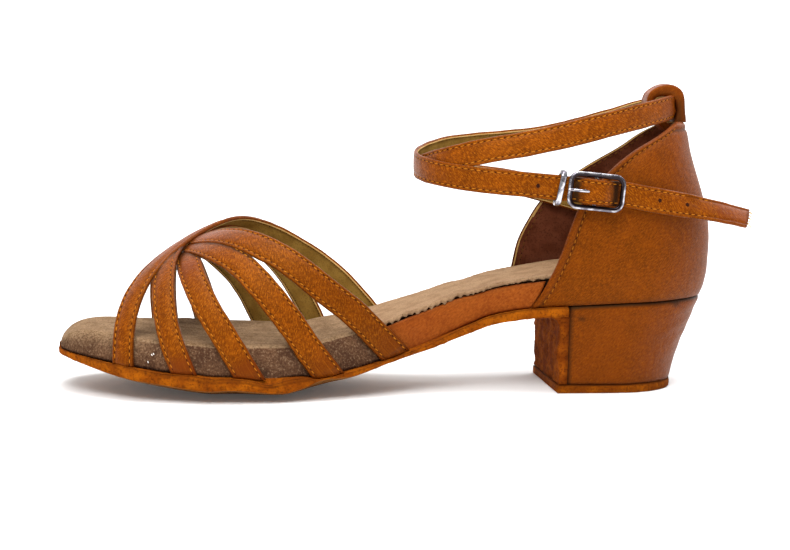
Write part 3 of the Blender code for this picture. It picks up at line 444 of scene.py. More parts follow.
def counter_point(side, along, share, inward):
    """Point of the counter: along runs 0 at the back to 1 at the wing's front; inward is a depth."""
    back = shares(COUNTER, 1, share) * COUNTER_LENGTH
    half = shares(COUNTER, 4, share) * SEAT_WIDTH
    depth = shares(COUNTER, 5, share) * SEAT_DEPTH
    reach = counter_front(side, share) - back
    if reach < depth:
        full = math.acos(1 - reach / depth)
    else:
        full = math.pi / 2 + (reach - depth) / depth
    turn = full * along
    if turn < math.pi / 2:
        x = back + depth * (1 - math.cos(turn))
        y = half * math.sin(turn)
        normal = np.array((-half * math.cos(turn), depth * math.sin(turn)))
    else:
        x = back + depth + depth * (turn - math.pi / 2)
        y = half
        normal = np.array((0.0, 1.0))
    if x > 0:
        y *= half_width(side, x) / half_width(side, 0.0)
    normal = unit(normal)
    x -= normal[0] * inward
    y -= normal[1] * inward
    z = feather(max(x, -SEAT_OVERHANG)) + GAP + share * (COUNTER_HEIGHT - GAP)
    return np.array((x, side * y, z))


def wing_inside(x, share):
    """Distance of the outer wing's inner face from the middle line."""
    ratio = half_width(1, x) / half_width(1, 0.0)
    return shares(COUNTER, 4, share) * SEAT_WIDTH * ratio - COUNTER_WALL


def foot_point(x, turn):
    """Point on the foot's upper surface under the vamp straps; turn is 0 at the outer edge, 1 inner."""
    angle = math.pi * turn
    level = math.cos(angle)
    rise = max(0.0, math.sin(angle))
    side = 1 if level >= 0 else -1
    half = half_width(side, x, SOLE_RIM)
    y = -INSTEP_LEAN * rise * rise + half * math.copysign(abs(level) ** 0.7, level)
    low = feather(x)
    return np.array((x, y, low + (ridge(x) - low) * rise ** 0.95))


def foot_normal(x, turn):
    step = 0.004
    a = foot_point(x + 0.5, turn) - foot_point(x - 0.5, turn)
    b = foot_point(x, min(1.0, turn + step)) - foot_point(x, max(0.0, turn - step))
    normal = unit(np.cross(b, a))
    middle = np.array((x, 0.0, feather(x)))
    if np.dot(normal, foot_point(x, turn) - middle) < 0:
        normal = -normal
    return normal


def frame_place(along, out, up):
    """Point given in the buckle's own directions: towards the toe, outwards and up."""
    tilt = math.radians(FRAME_TILT)
    x, y, z = FRAME_MIDDLE
    return np.array((
        x + along * math.cos(tilt) - up * math.sin(tilt),
        y + out,
        z + along * math.sin(tilt) + up * math.cos(tilt),
    ))


# The buckle's half length to the middle of its bars, and the strap's middle where it runs behind them
FRAME_REACH = FRAME_LENGTH / 2 - FRAME_BAR / 2
STRAP_UNDER = -(FRAME_THICKNESS / 2 + 2.6 * GAP + ANKLE_STRAP_THICKNESS / 2)


def buckle_wave():
    """Middle of the strap through the buckle: under the front bar, over the centre bar, under the rear."""
    eye = CENTRE_BAR_RADIUS + TAB_EYE_CLEARANCE + TAB_THICKNESS
    over = CENTRE_BAR_DROP + eye + GAP + ANKLE_STRAP_THICKNESS / 2
    reach = FRAME_REACH
    front = [(reach + 2.6, 0.0), (reach, 0.0), (reach * 0.62, 0.36), (reach * 0.3, 0.9)]
    wave = front + [(0.0, 1.0)] + [(-along, rise) for along, rise in reversed(front)]
    return [frame_place(along, STRAP_UNDER + (over - STRAP_UNDER) * rise, 0.0) for along, rise in wave]


def ankle_points(route):
    return [
        (a * ANKLE_REACH, b * ANKLE_SPREAD, HEEL_HEIGHT + c * ANKLE_RISE, lean) for a, b, c, lean in route
    ]


# Noise and mesh helpers
def hashed(i, j, seed):
    """Repeatable value from -1 to 1 for whole numbers."""
    value = np.sin(i * 127.1 + j * 311.7 + seed * 74.7) * 43758.5453
    return (value - np.floor(value)) * 2 - 1


def noise(x, y, seed):
    """Smooth value noise from -1 to 1."""
    x = np.asarray(x, float)
    y = np.asarray(y, float)
    i = np.floor(x)
    j = np.floor(y)
    u = x - i
    v = y - j
    u = u * u * (3 - 2 * u)
    v = v * v * (3 - 2 * v)
    low = hashed(i, j, seed) * (1 - u) + hashed(i + 1, j, seed) * u
    high = hashed(i, j + 1, seed) * (1 - u) + hashed(i + 1, j + 1, seed) * u
    return low * (1 - v) + high * v


def bump_at(value, place, width):
    """Soft hump of height 1 round a place."""
    return math.exp(-((value - place) / width) ** 2)


def smooth_step(start, end, x):
    t = min(1.0, max(0.0, (x - start) / (end - start)))
    return t * t * (3 - 2 * t)


def linked(name, data):
    obj = bpy.data.objects.new(name, data)
    bpy.context.scene.collection.objects.link(obj)
    return obj


def make_mesh(name, verts, faces, mats, face_mats=None, attributes=None):
    mesh = bpy.data.meshes.new(name)
    points = np.asarray(verts, float)
    mesh.from_pydata([tuple(v) for v in points * MM], [], faces)
    for mat in mats:
        mesh.materials.append(mat)
    if face_mats is not None:
        mesh.polygons.foreach_set("material_index", face_mats)
    layers = {"along": points[:, 0], "across": points[:, 2]}
    layers.update(attributes or {})
    for key, values in layers.items():
        layer = mesh.attributes.new(key, "FLOAT", "POINT")
        layer.data.foreach_set("value", np.asarray(values, float).ravel())
    mesh.shade_smooth()
    mesh.update()
    return linked(name, mesh)


def face_out(obj):
    bm = bmesh.new()
    bm.from_mesh(obj.data)
    bmesh.ops.recalc_face_normals(bm, faces=bm.faces)
    bm.to_mesh(obj.data)
    bm.free()
    return obj


def loft(name, rings, mats, band_mats=None, attributes=None, caps=(True, True), cap_mat=0):
    """A skin over closed rings of points; band_mats gives one material per place round the ring."""
    rings = np.asarray(rings, float)
    rows, count = rings.shape[:2]
    faces = []
    face_mats = []
    for i in range(rows - 1):
        for k in range(count):
            a = i * count + k
            b = i * count + (k + 1) % count
            faces.append((a, b, b + count, a + count))
            face_mats.append(band_mats[k] if band_mats is not None else 0)
    if caps[0]:
        faces.append(tuple(range(count)))
        face_mats.append(cap_mat)
    if caps[1]:
        faces.append(tuple((rows - 1) * count + k for k in range(count))[::-1])
        face_mats.append(cap_mat)
    obj = make_mesh(name, rings.reshape(-1, 3), faces, mats, face_mats, attributes)
    return face_out(obj)


def dress(obj, nodes):
    """Put a finished piece on the shoe in place of its CAD nodes."""
    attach(obj, "root")
    if nodes:
        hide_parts(*nodes)
    return obj


# Shader and geometry nodes
def feed(tree, socket, value):
    """Link a shader value or a socket to an input, or set the input to anything else."""
    if isinstance(value, Value):
        value = value.socket
    if isinstance(value, bpy.types.NodeSocket):
        tree.links.new(value, socket)
    else:
        socket.default_value = value


def add_node(tree, kind, settings=None, inputs=None):
    node = tree.nodes.new(kind)
    for key, value in (settings or {}).items():
        setattr(node, key, value)
    for key, value in (inputs or {}).items():
        feed(tree, node.inputs[key], value)
    return node


def from_hex(code):
    """Linear colour from a hex code."""
    parts = [int(code[i:i + 2], 16) / 255 for i in (0, 2, 4)]
    return tuple(p / 12.92 if p <= 0.04045 else ((p + 0.055) / 1.055) ** 2.4 for p in parts)


def as_colour(value):
    """A hex code or a triple becomes a colour with full alpha; a socket stays as it is."""
    if isinstance(value, str):
        value = from_hex(value)
    return (*value, 1.0) if isinstance(value, tuple) else value


class Value:
    """A shader value that can be added, multiplied and mixed."""

    def __init__(self, tree, socket):
        self.tree = tree
        self.socket = socket

    def math(self, operation, other):
        node = add_node(self.tree, "ShaderNodeMath", {"operation": operation}, {0: self, 1: other})
        return Value(self.tree, node.outputs[0])

    def __add__(self, other):
        return self.math("ADD", other)

    def __mul__(self, other):
        return self.math("MULTIPLY", other)

    def __sub__(self, other):
        return self.math("SUBTRACT", other)

    def spread(self, low, high, out_low=0.0, out_high=1.0):
        node = add_node(self.tree, "ShaderNodeMapRange", {"interpolation_type": "SMOOTHSTEP"}, {
            "Value": self, "From Min": low, "From Max": high, "To Min": out_low, "To Max": out_high,
        })
        return Value(self.tree, node.outputs["Result"])


DIAGONAL = 0.7


class Look:
    """A Principled material that is put together from colours, noises and attributes."""

    def __init__(self, name, roughness, specular, metallic=0.0):
        self.mat = bpy.data.materials.new(name)
        self.mat.use_nodes = True
        self.tree = self.mat.node_tree
        self.shader = self.tree.nodes["Principled BSDF"]
        self.put("Roughness", roughness)
        self.put("Metallic", metallic)
        self.put("Specular IOR Level", specular)
        self.place = self.tree.nodes.new("ShaderNodeTexCoord").outputs["Object"]
        self.normal = None

    def put(self, name, value):
        feed(self.tree, self.shader.inputs[name], value)

    def base(self, colour):
        self.put("Base Color", as_colour(colour))

    def pattern(self, vector, detail, rough=0.5):
        node = add_node(self.tree, "ShaderNodeTexNoise", inputs={
            "Scale": 1.0, "Detail": detail, "Roughness": rough, "Vector": vector,
        })
        return Value(self.tree, node.outputs[0])

    def noise(self, size_mm, detail=2.0, rough=0.5):
        scale = add_node(self.tree, "ShaderNodeVectorMath", {"operation": "MULTIPLY"}, {
            0: self.place, 1: (1000.0 / size_mm,) * 3,
        })
        return self.pattern(scale.outputs[0], detail, rough)

    def weave(self, width_mm, length_mm):
        """Short slanting threads in the directions along and across the piece."""
        along = self.attribute("along")
        across = self.attribute("across")
        join = add_node(self.tree, "ShaderNodeCombineXYZ", inputs={
            0: (along + across) * (DIAGONAL / width_mm), 1: (along - across) * (DIAGONAL / length_mm),
        })
        return self.pattern(join.outputs[0], 2.0)

    def attribute(self, name):
        node = add_node(self.tree, "ShaderNodeAttribute", {"attribute_name": name})
        return Value(self.tree, node.outputs["Fac"])

    def mix(self, factor, a, b):
        node = add_node(self.tree, "ShaderNodeMix", {"data_type": "RGBA", "clamp_factor": True}, {
            0: factor, 6: as_colour(a), 7: as_colour(b),
        })
        return node.outputs[2]

    def tinted(self, colour, layers):
        """The colour with more tones mixed in; a layer is a pattern, its two limits, a share and a tone."""
        for pattern, low, high, share, tone in layers:
            colour = self.mix(pattern.spread(low, high, 0.0, share), colour, tone)
        return colour

    def bump(self, value, depth_mm):
        node = add_node(self.tree, "ShaderNodeBump", inputs={
            "Strength": 1.0, "Distance": depth_mm * MM, "Height": value,
        })
        if self.normal is not None:
            feed(self.tree, node.inputs["Normal"], self.normal)
        self.normal = node.outputs[0]
        self.put("Normal", self.normal)


# Materials
def satin_look(name, mid, dark, warm, light, shine=0.52, grain_size=0.75):
    look = Look(name, shine, 0.30)
    look.put("Specular Tint", (1.0, 0.42, 0.08, 1.0))
    grain = look.noise(grain_size, 3.0, 0.65)
    patch = look.noise(3.2)
    threads = look.weave(0.40, 1.5)
    colour = look.mix(look.noise(9.0).spread(0.35, 0.70), mid, warm)
    # The light tone that the grain, the threads and the patches lay on is painted sheen of the satin.
    colour = look.tinted(colour, (
        (patch, 0.52, 0.80, 0.30, dark),
        (grain, 0.50, 0.64, 0.50, dark),
        (grain, 0.46, 0.34, 0.45, light),
        (threads, 0.50, 0.64, 0.50, dark),
        (threads, 0.46, 0.34, 0.45, light),
        (patch, 0.44, 0.26, 0.16, light),
    ))
    # The first mark darkens for real wear and for painted shade, the second gives a redder tone that in
    # places is painted shade, the third is painted shade.
    for mark, tone in (("wear_and_shade", dark), ("red", "6A2A0A"), ("shade", "1E100A")):
        colour = look.mix(look.attribute(mark), colour, tone)
    look.base(colour)
    look.bump(grain, 0.10)
    look.bump(threads, 0.12)
    look.bump(patch, 0.22)
    look.put("Roughness", grain.spread(0.3, 0.7, shine - 0.08, shine + 0.10))
    return look.mat


def suede_look(name, mid, dark, light, nap, depth):
    look = Look(name, 0.95, 0.05)
    fine = look.noise(nap, 3.0, 0.7)
    colour = look.mix(look.noise(6.0).spread(0.35, 0.70), mid, light)
    colour = look.tinted(colour, ((fine, 0.48, 0.66, 0.60, dark), (fine, 0.44, 0.28, 0.35, light)))
    # The mark darkens for real wear and for painted shade under and between parts.
    look.base(look.mix(look.attribute("wear_and_shade"), colour, dark))
    look.bump(fine, depth)
    return look.mat


def plain_look(name, code, roughness):
    look = Look(name, roughness, 0.08)
    look.base(code)
    return look.mat


def metal_look(name):
    look = Look(name, 0.14, 0.5, 1.0)
    smear = look.noise(2.5, 3.0)
    bright = look.mix(smear.spread(0.40, 0.62), "C2C0C6", "6E6A72")
    # A painted dark reflection on the inner side of the frame.
    look.base(look.mix(look.attribute("inner"), bright, "2A2224"))
    look.put("Roughness", smear.spread(0.3, 0.7, 0.10, 0.26))
    look.bump(look.noise(1.6), 0.03)
    return look.mat


def insole_look_material():
    look = Look("insole_suede", 0.95, 0.05)
    fine = look.noise(0.72, 3.0, 0.7)
    cloud = look.noise(7.0, 3.0).spread(0.35, 0.70)
    top = look.mix(cloud, "8F7356", "7A5F44")
    # The side colour is the top's suede in painted shade.
    side = look.mix(cloud, "60432F", "4A3122")
    colour = look.mix(look.attribute("side"), top, side)
    colour = look.tinted(colour, ((fine, 0.48, 0.62, 0.58, "35241A"), (fine, 0.47, 0.34, 0.42, "9C8064")))
    # The mark darkens for real scuffs and for painted shade where the insole meets the outsole and the sock.
    look.base(look.mix(look.attribute("wear_and_shade"), colour, "1E110A"))
    look.bump(fine, 0.35)
    look.bump(look.noise(2.2), 0.18)
    return look.mat


SATIN = satin_look("satin", "6C3004", "421C02", "602A03", "8A4408", grain_size=0.42)
STRAP_SATIN = satin_look("strap_satin", "783804", "431C02", "6A3003", "AE5E0E", 0.42, 0.48)
LINING = suede_look("strap_lining", "8A6A30", "5E451C", "785824", 0.6, 0.12)
LINING_EDGE = suede_look("lining_edge", "C6A268", "967340", "B48C52", 0.5, 0.12)
COUNTER_LINING = suede_look("counter_lining", "6A3A26", "3C1B0D", "562A18", 0.7, 0.25)
SOLE_EDGE_LOOK = suede_look("sole_suede", "7E3C05", "3C1A03", "A05408", 1.0, 0.45)
# The flap is the sole's suede in a darker copy: painted shade on the heel breast under the arch.
FLAP_LOOK = suede_look("flap_suede", "6E3004", "361603", "92480A", 1.0, 0.5)
SOLE_FACE = suede_look("sole_face", "8A5A2C", "5E3A18", "764B22", 0.8, 0.35)
INSOLE_LOOK = insole_look_material()
SOCK_LOOK = suede_look("sock_suede", "9A7C5E", "66492F", "8A6C50", 0.6, 0.2)
COVER_LOOK = satin_look("waist_leather", "8C4516", "5E280C", "7E3A12", "9C5420", 0.42)
METAL = metal_look("bright_metal")
THREAD = plain_look("thread", "B46C18", 0.8)
PALE_THREAD = plain_look("pale_thread", "B99A66", 0.85)
SPECK = plain_look("speck", "F2EEE6", 0.5)
SOFT_THREAD = plain_look("soft_thread", "965610", 0.8)
DARK_THREAD = plain_look("dark_thread", "5A3A12", 0.8)
# Dark bodies that paint the shade inside the needle holes and the strap's holes.
HOLE_SHADE = plain_look("hole_shade", "2C1408", 0.95)


# Stitches and needle holes
def repeat_tree(name, sizes, mat):
    """Geometry tree that puts a small rounded body on every point of a mesh, along its own directions."""
    tree = bpy.data.node_groups.new(name, "GeometryNodeTree")
    tree.interface.new_socket("Geometry", in_out="INPUT", socket_type="NodeSocketGeometry")
    identifiers = {}
    for label, value in sizes.items():
        socket = tree.interface.new_socket(label, in_out="INPUT", socket_type="NodeSocketFloat")
        socket.default_value = value
        identifiers[label] = socket.identifier
    tree.interface.new_socket("Geometry", in_out="OUTPUT", socket_type="NodeSocketGeometry")
    start = tree.nodes.new("NodeGroupInput").outputs
    ball = add_node(tree, "GeometryNodeMeshUVSphere", inputs={"Segments": 8, "Rings": 5, "Radius": 0.5})
    size = add_node(tree, "ShaderNodeCombineXYZ", inputs={
        0: start["Length"], 1: start["Width"], 2: start["Height"],
    })
    ways = [
        add_node(tree, "GeometryNodeInputNamedAttribute", {"data_type": "FLOAT_VECTOR"}, {"Name": key})
        for key in ("normal_way", "along_way")
    ]
    turn = add_node(tree, "FunctionNodeAxesToRotation", {"primary_axis": "Z", "secondary_axis": "X"}, {
        place: way.outputs["Attribute"] for place, way in enumerate(ways)
    })
    shape = add_node(tree, "GeometryNodeTransform", inputs={
        "Geometry": ball.outputs["Mesh"], "Scale": size.outputs[0],
    })
    put = add_node(tree, "GeometryNodeInstanceOnPoints", inputs={
        "Points": start["Geometry"],
        "Instance": shape.outputs["Geometry"],
        "Rotation": turn.outputs["Rotation"],
    })
    real = add_node(tree, "GeometryNodeRealizeInstances", inputs={"Geometry": put.outputs["Instances"]})
    paint = add_node(tree, "GeometryNodeSetMaterial", inputs={
        "Geometry": real.outputs["Geometry"], "Material": mat,
    })
    smooth = add_node(tree, "GeometryNodeSetShadeSmooth", inputs={"Geometry": paint.outputs["Geometry"]})
    add_node(tree, "NodeGroupOutput", inputs={"Geometry": smooth.outputs["Geometry"]})
    return tree, identifiers


def repeat(name, places, length, width, height, mat):
    """One mesh of small bodies, each at a place given as point, along direction and normal."""
    points = np.array([p[0] for p in places]) * MM
    mesh = bpy.data.meshes.new(name + "_places")
    mesh.from_pydata([tuple(p) for p in points], [], [])
    for key, column in (("along_way", 1), ("normal_way", 2)):
        layer = mesh.attributes.new(key, "FLOAT_VECTOR", "POINT")
        layer.data.foreach_set("vector", np.array([p[column] for p in places], float).ravel())
    obj = linked(name, mesh)
    sizes = {"Length": length * MM, "Width": width * MM, "Height": height * MM}
    tree, identifiers = repeat_tree(name + "_tree", sizes, mat)
    modifier = obj.modifiers.new("repeat", "NODES")
    modifier.node_group = tree
    for label, value in sizes.items():
        modifier[identifiers[label]] = value
    graph = bpy.context.evaluated_depsgraph_get()
    plain = bpy.data.meshes.new_from_object(obj.evaluated_get(graph))
    obj.modifiers.clear()
    obj.data = plain
    obj.data.name = name
    return obj


STITCH_PITCH = 2.5
STITCH_START = 0.7
STITCH_SLANT = 0.10
STITCH_LENGTH = 1.6
STITCH_WIDTH = 0.36
STITCH_HEIGHT = 0.26


def stitch_places(line, normals, pitch, offset):
    """Places of stitches and of the needle holes between them along a line on a surface."""
    line = np.asarray(line, float)
    normals = np.asarray(normals, float)
    lengths = run_along(line)
    total = lengths[-1]

    def at_length(values, where):
        return np.array([np.interp(where, lengths, values[:, c]) for c in range(3)])

    threads = []
    holes = []
    for k in range(int((total - 1.0) / pitch)):
        middle = STITCH_START + offset + (k + 0.5) * pitch
        if middle + pitch / 2 > total:
            break
        at = at_length(line, middle)
        normal = unit(at_length(normals, middle))
        along = unit(at_length(line, min(middle + 0.6, total)) - at_length(line, middle - 0.6))
        skew = along + np.cross(normal, along) * (STITCH_SLANT + 0.05 * math.sin(k * 2.4))
        threads.append((at, unit(skew), normal))
        holes.append((at - along * pitch / 2 - normal * 0.02, along, normal))
    return threads, holes


stitch_rows = {"thread": [], "hole": [], "dark_thread": [], "soft_thread": []}


def sew(line, normals, pitch=STITCH_PITCH, offset=0.0, kind="thread"):
    threads, holes = stitch_places(line, normals, pitch, offset)
    stitch_rows[kind] += threads
    stitch_rows["hole"] += holes


# Sections of the straps: place of the edge seam, and the number of each band's material
STRAP_SEAM = 1.25
SATIN_BAND = 0
EDGE_BAND = 1
LINING_BAND = 2


def strap_section(width, thickness, crown=0.26):
    """Points round a folded strap with its lining, across and outwards, and the material after each."""
    half = width / 2
    t = thickness / 2
    outer = [
        (-half, -0.30 * t), (-half, 0.25 * t), (-half + 0.14, 0.68 * t), (-half + 0.45, 0.95 * t),
        (-half + 0.85, 0.98 * t), (-half + STRAP_SEAM - 0.12, 0.76 * t),
        (-half + STRAP_SEAM + 0.12, 0.75 * t), (-half + 1.75, 1.00 * t),
        (-half + 2.5, 1.06 * t + crown * 0.5), (-half * 0.32, 1.08 * t + crown),
    ]
    outer = outer + [(0.0, 1.08 * t + crown)] + [(-a, b) for a, b in reversed(outer)]
    inner = [
        (half - 0.20, -0.72 * t), (half - 0.55, -0.80 * t), (half - 0.56, -1.02 * t),
        (half - 0.92, -1.04 * t), (half - 1.5, -0.92 * t), (half - 2.4, -0.98 * t),
    ]
    inner = inner + [(0.0, -1.0 * t)] + [(-a, b) for a, b in reversed(inner)]
    points = outer + inner
    mats = []
    for a, b in zip(points, points[1:] + points[:1]):
        middle = abs(a[0] + b[0]) / 2
        if a[1] > -0.5 * t or b[1] > -0.5 * t or middle > half - 0.54:
            mats.append(SATIN_BAND)
        elif middle > half - 0.93:
            mats.append(EDGE_BAND)
        else:
            mats.append(LINING_BAND)
    return points, mats


def frames(middles, out):
    """Width directions that stand square on the line and on the outward direction."""
    return [unit(np.cross(out[i], tangent(middles, i))) for i in range(len(middles))]


def seam_pucker(length, across, half):
    """Small waves that the stitches draw into the edge seams."""
    return 0.05 * math.sin(length * 2 * math.pi / STITCH_PITCH) * bump_at(abs(across), half - STRAP_SEAM, 0.5)


# Painted shade in the groove that each edge seam draws.
def seam_shade(across, half):
    return 0.55 * bump_at(abs(across), half - STRAP_SEAM, 0.34)


def padded(rows):
    """The rows with the first and the last one given twice more, for the strap's feet."""
    return [rows[0]] * 2 + list(rows) + [rows[-1]] * 2


def eased(rows, passes):
    """Rows after some passes of averaging with their neighbours; the ends stay where they are."""
    rows = np.array(rows, float)
    for _ in range(passes):
        rows[1:-1] = 0.25 * rows[:-2] + 0.5 * rows[1:-1] + 0.25 * rows[2:]
    return rows


# Waves of the outsole's edge near the ball: place, width and size; the inner side has them further back
LIP_WAVES = ((140.0, 30.0, 0.45), (132.0, 5.5, 2.0), (100.0, 16.0, 0.6), (74.0, 12.0, 1.2))
LOWER_WAVES = ((168.0, 9.0, 0.7), (145.0, 11.0, 1.5), (112.0, 7.5, 2.0), (88.0, 9.0, 1.0))
INNER_WAVE_SHIFT = 6.0


def lip_drop(x, side):
    """How far the upper edge of the outsole hangs below the line of the insole."""
    place = x if side > 0 else x + INNER_WAVE_SHIFT
    return sum(size * bump_at(place, at, wide) for at, wide, size in LIP_WAVES)


def lower_wave(x, side):
    """Height by which the worn lower edge of the outsole is raised."""
    place = x if side > 0 else x + INNER_WAVE_SHIFT
    return sum(size * bump_at(place, at, wide) for at, wide, size in LOWER_WAVES)


# Vamp straps
VAMP_STEPS = 9
EASING_PASSES = 50
TOP_LAYER = 4
SINK = 0.35

# A strap's foot starts this high over the outsole and follows this share of the outsole's waves
FOOT_HEIGHT = 1.2
FOOT_WAVE_SHARE = 0.4

# How red each strap is at its foot, and how much painted shade darkens the foot where it runs under the sole
FOOT_RED_AND_SHADE = (0.2, 1.0, 0.8, 0.3, 0.3)

# Stretches of each strap where its stitches can be seen
WHOLE = ((0.0, 1.0),)
STITCHED = (((0.0, 0.40), (0.58, 1.0)), ((0.0, 0.42), (0.58, 1.0)), WHOLE, WHOLE, WHOLE)


def fine_strap_rows(layer, route, shift):
    line = curve([(at_station(s), t) for s, t in route], VAMP_STEPS)
    middles = []
    out = []
    for x, t in line:
        x -= shift * smooth_step(0.52, 0.72, t)
        normal = foot_normal(x, t)
        gathered = math.sin(math.pi * min(1.0, max(0.0, t))) ** 4
        lift = VAMP_STRAP_CLEARANCE + VAMP_STRAP_THICKNESS / 2
        lift += (layer * LAYER_STEP - (TOP_LAYER - layer) * SINK) * gathered
        middles.append(foot_point(x, t) + normal * lift)
        out.append(normal)
    middles = list(eased(middles, EASING_PASSES))
    out = [unit(normal) for normal in eased(out, EASING_PASSES)]
    return middles, frames(middles, out), out, [t for _, t in line]


# How much nearer the heel each strap's inner end lies than in the solids
INNER_SHIFTS = (0.0, 0.0, 0.0, 1.2, 2.3)
strap_lines = [
    (layer, VAMP_STRAP_WIDTH * share / 2, np.array(fine_strap_rows(layer, route, shift)[0]))
    for (layer, share, route), shift in zip(VAMP_STRAPS, INNER_SHIFTS)
]


# Place and width of the shade beside the edge of a strap that lies over another
SHADE_PLACE = 0.35
SHADE_WIDTH = 0.75


def strap_shade(rings, number):
    """Shade on a strap next to the edges of the straps that lie over it."""
    points = np.array(rings).reshape(-1, 3)
    shade = np.zeros(len(points))
    for other, (layer, half, line) in enumerate(strap_lines):
        if other == number or layer < strap_lines[number][0]:
            continue
        away = np.min(np.linalg.norm(points[:, None, :] - line[None, :, :], axis=2), axis=1)
        shade = np.maximum(shade, 0.9 * np.exp(-((away - half - SHADE_PLACE) / SHADE_WIDTH) ** 2))
    return shade


def make_vamp_look(number, layer, share, route):
    middles, widths, out, turns = fine_strap_rows(layer, route, INNER_SHIFTS[number])
    width = VAMP_STRAP_WIDTH * share
    section, mats = strap_section(width, VAMP_STRAP_THICKNESS)
    half = width / 2
    keep = [i for i, m in enumerate(middles) if m[2] - abs(widths[i][2]) * half > feather(m[0]) + FOOT_HEIGHT]
    middles, widths, out, turns = (rows[keep[0]:keep[-1] + 1] for rows in (middles, widths, out, turns))
    lengths = run_along(middles)
    rings = []
    for length, m, w, o in zip(lengths, middles, widths, out):
        wave = 0.10 * noise(length / 3.0, number * 7.3, 5)
        sway = 0.07 * noise(length / 5.0, number * 3.1, 9)
        rings.append([
            m + w * (a + wave * (a / half) + sway) + o * (b + seam_pucker(length, a, half))
            for a, b in section
        ])
    starts = [drop_ring(rings[0], middles[1], middles[0], down) for down in (1.0, 0.5)]
    ends = [drop_ring(rings[-1], middles[-2], middles[-1], down) for down in (0.5, 1.0)]
    rings = starts + rings + ends
    turns = padded(turns)
    across = []
    along = []
    wear_and_shade = []
    red = []
    for turn, length in zip(turns, padded(lengths)):
        top_share = math.sin(math.pi * min(1.0, max(0.0, turn)))
        # Painted shade on the lower part of the outer side, strongest on the fifth strap.
        low_side_shade = max(0.0, 0.42 - turn) * (0.9 if number == 4 else 0.25)
        # Painted redder shade where the third strap runs under the fourth.
        tuck = 0.5 * bump_at(turn, 0.335, 0.05) if number == 2 else 0.0
        base = max(0.0, 1 - length / 4.0) * FOOT_RED_AND_SHADE[number]
        for a, _ in section:
            across.append(a)
            along.append(length)
            # Darker seams, edges and feet are painted shade.
            wear_and_shade.append(seam_shade(a, half) + 0.45 * (abs(a) > half - 0.3) + low_side_shade + 0.45 * base)
            # The crest's redder tone is painted shade at the crossing.
            red.append(min(1.0, tuck + 0.25 * max(0.0, (top_share - 0.93) / 0.07) + 0.6 * base))
    shade = strap_shade(rings, number)
    obj = loft("vamp_strap_%d" % (number + 1), rings, [STRAP_SATIN, LINING_EDGE, LINING], mats,
               {"across": across, "along": along, "wear_and_shade": wear_and_shade, "red": red, "shade": shade})
    normals = padded(out)
    for side, (first, second) in ((-1, (5, 6)), (1, (14, 15))):
        a = side * (half - STRAP_SEAM)
        seam_line = [(ring[first] + ring[second]) / 2 + o * 0.04 for ring, o in zip(rings, normals)]
        depth = VAMP_STRAP_THICKNESS * 0.50 + 0.04
        under = [m + w * a - o * depth for m, w, o in zip(middles, widths, out)]
        for start, end in STITCHED[number]:
            shown = [i for i in range(len(rings)) if start <= turns[i] <= end]
            sew([seam_line[i] for i in shown], [normals[i] for i in shown], offset=0.9 * (side > 0))
            inside = [i - 2 for i in shown if 2 <= i < len(rings) - 2]
            sew([under[i] for i in inside], [-out[i] for i in inside], kind="dark_thread")
    return obj


def drop_ring(ring, before, end, share):
    """Carry a ring on in the strap's direction towards the outsole's upper edge."""
    along = unit(end - before)
    moved = []
    for start in ring:
        point = np.array(start)
        for _ in range(6):
            side = 1 if point[1] > 0 else -1
            edge = feather(point[0]) + 0.05 - FOOT_WAVE_SHARE * lip_drop(point[0], side)
            point = point + along * (edge - point[2]) / along[2]
        moved.append(start + (point - start) * share)
    return moved


# Sole pieces
OUTSOLE_STEPS = 7
EDGE_LEVELS = (0.04, 0.14, 0.30, 0.46, 0.62, 0.78, 0.90, 0.97)
FLAP_FILLET = 5.0


def outsole_edge(side, x, y, level):
    """Point, and wear with painted shade, on the outsole's rough rim; level runs from 0 at its top to 1 at
    its foot.
    """
    high = feather(x) - lip_drop(x, side)
    low = sole_line(x) + camber(x) + lower_wave(x, side)
    swell = 0.35 * math.sin(math.pi * level) + 0.22 * noise(x / 0.9, level * 5 + side, 4)
    swell += 0.25 * noise(x / 5.0, level * 1.5 + side, 6)
    swell += 0.5 * bump_at(x, 132.0, 8.0) * bump_at(level, 0.1, 0.3)
    swell += 0.9 * bump_at(x, BREAST + 4.0, 5.0) * bump_at(level, 0.7, 0.4)
    fuzz = 0.30 * noise(x / 0.8, level * 3 + side, 7) * level
    # Painted shadow under the insole along the rim's top, a dark line a third of the way down near the ball,
    # and real wear in patches.
    rim_wear_and_shade = 0.75 * bump_at(level, 0.04, 0.10) + 0.55 * bump_at(level, 0.30, 0.05) * bump_at(x, 135.0, 45.0)
    rim_wear_and_shade += 0.22 * max(0.0, noise(x / 6.0, level * 2, 8))
    return (x, y + side * swell, max(0.0, high - (high - low) * level + fuzz)), rim_wear_and_shade


def make_outsole_look():
    columns = -np.cos(np.linspace(0, math.pi, 25))
    rings = []
    wear_and_shade = []
    for inner, outer in sole_rows(0.0, BREAST + 0.2, SOLE_LENGTH, OUTSOLE_STEPS):
        ring = []
        for v in columns:
            x, y = between(inner, outer, v)
            ring.append((x, y, feather(x) - cup(x, v) - lip_drop(x, v) * smooth_step(0.90, 1.0, abs(v))))
            wear_and_shade.append(0.15)
        rim = [outsole_edge(1, *outer, level) for level in EDGE_LEVELS]
        for v in columns[::-1]:
            x, y = between(inner, outer, v)
            low = sole_line(x) + camber(x) * edge_rise(v) + lower_wave(x, v) * smooth_step(0.30, 1.0, abs(v))
            rough = 0.10 * noise(x / 1.1, y / 1.1, 3) * (abs(v) > 0.5)
            rim.append(((x, y * 0.995, low + max(0.0, rough) * (low > 0.01)), 0.0))
        rim += [outsole_edge(-1, *inner, level) for level in EDGE_LEVELS[::-1]]
        rings.append(ring + [place for place, _ in rim])
        wear_and_shade += [rim_wear_and_shade for _, rim_wear_and_shade in rim]
    face = [0] * len(columns)
    side = [0] * len(EDGE_LEVELS)
    bands = face + side + [1] * len(columns) + side
    return loft("outsole_suede", rings, [SOLE_EDGE_LOOK, SOLE_FACE], bands, {"wear_and_shade": wear_and_shade})


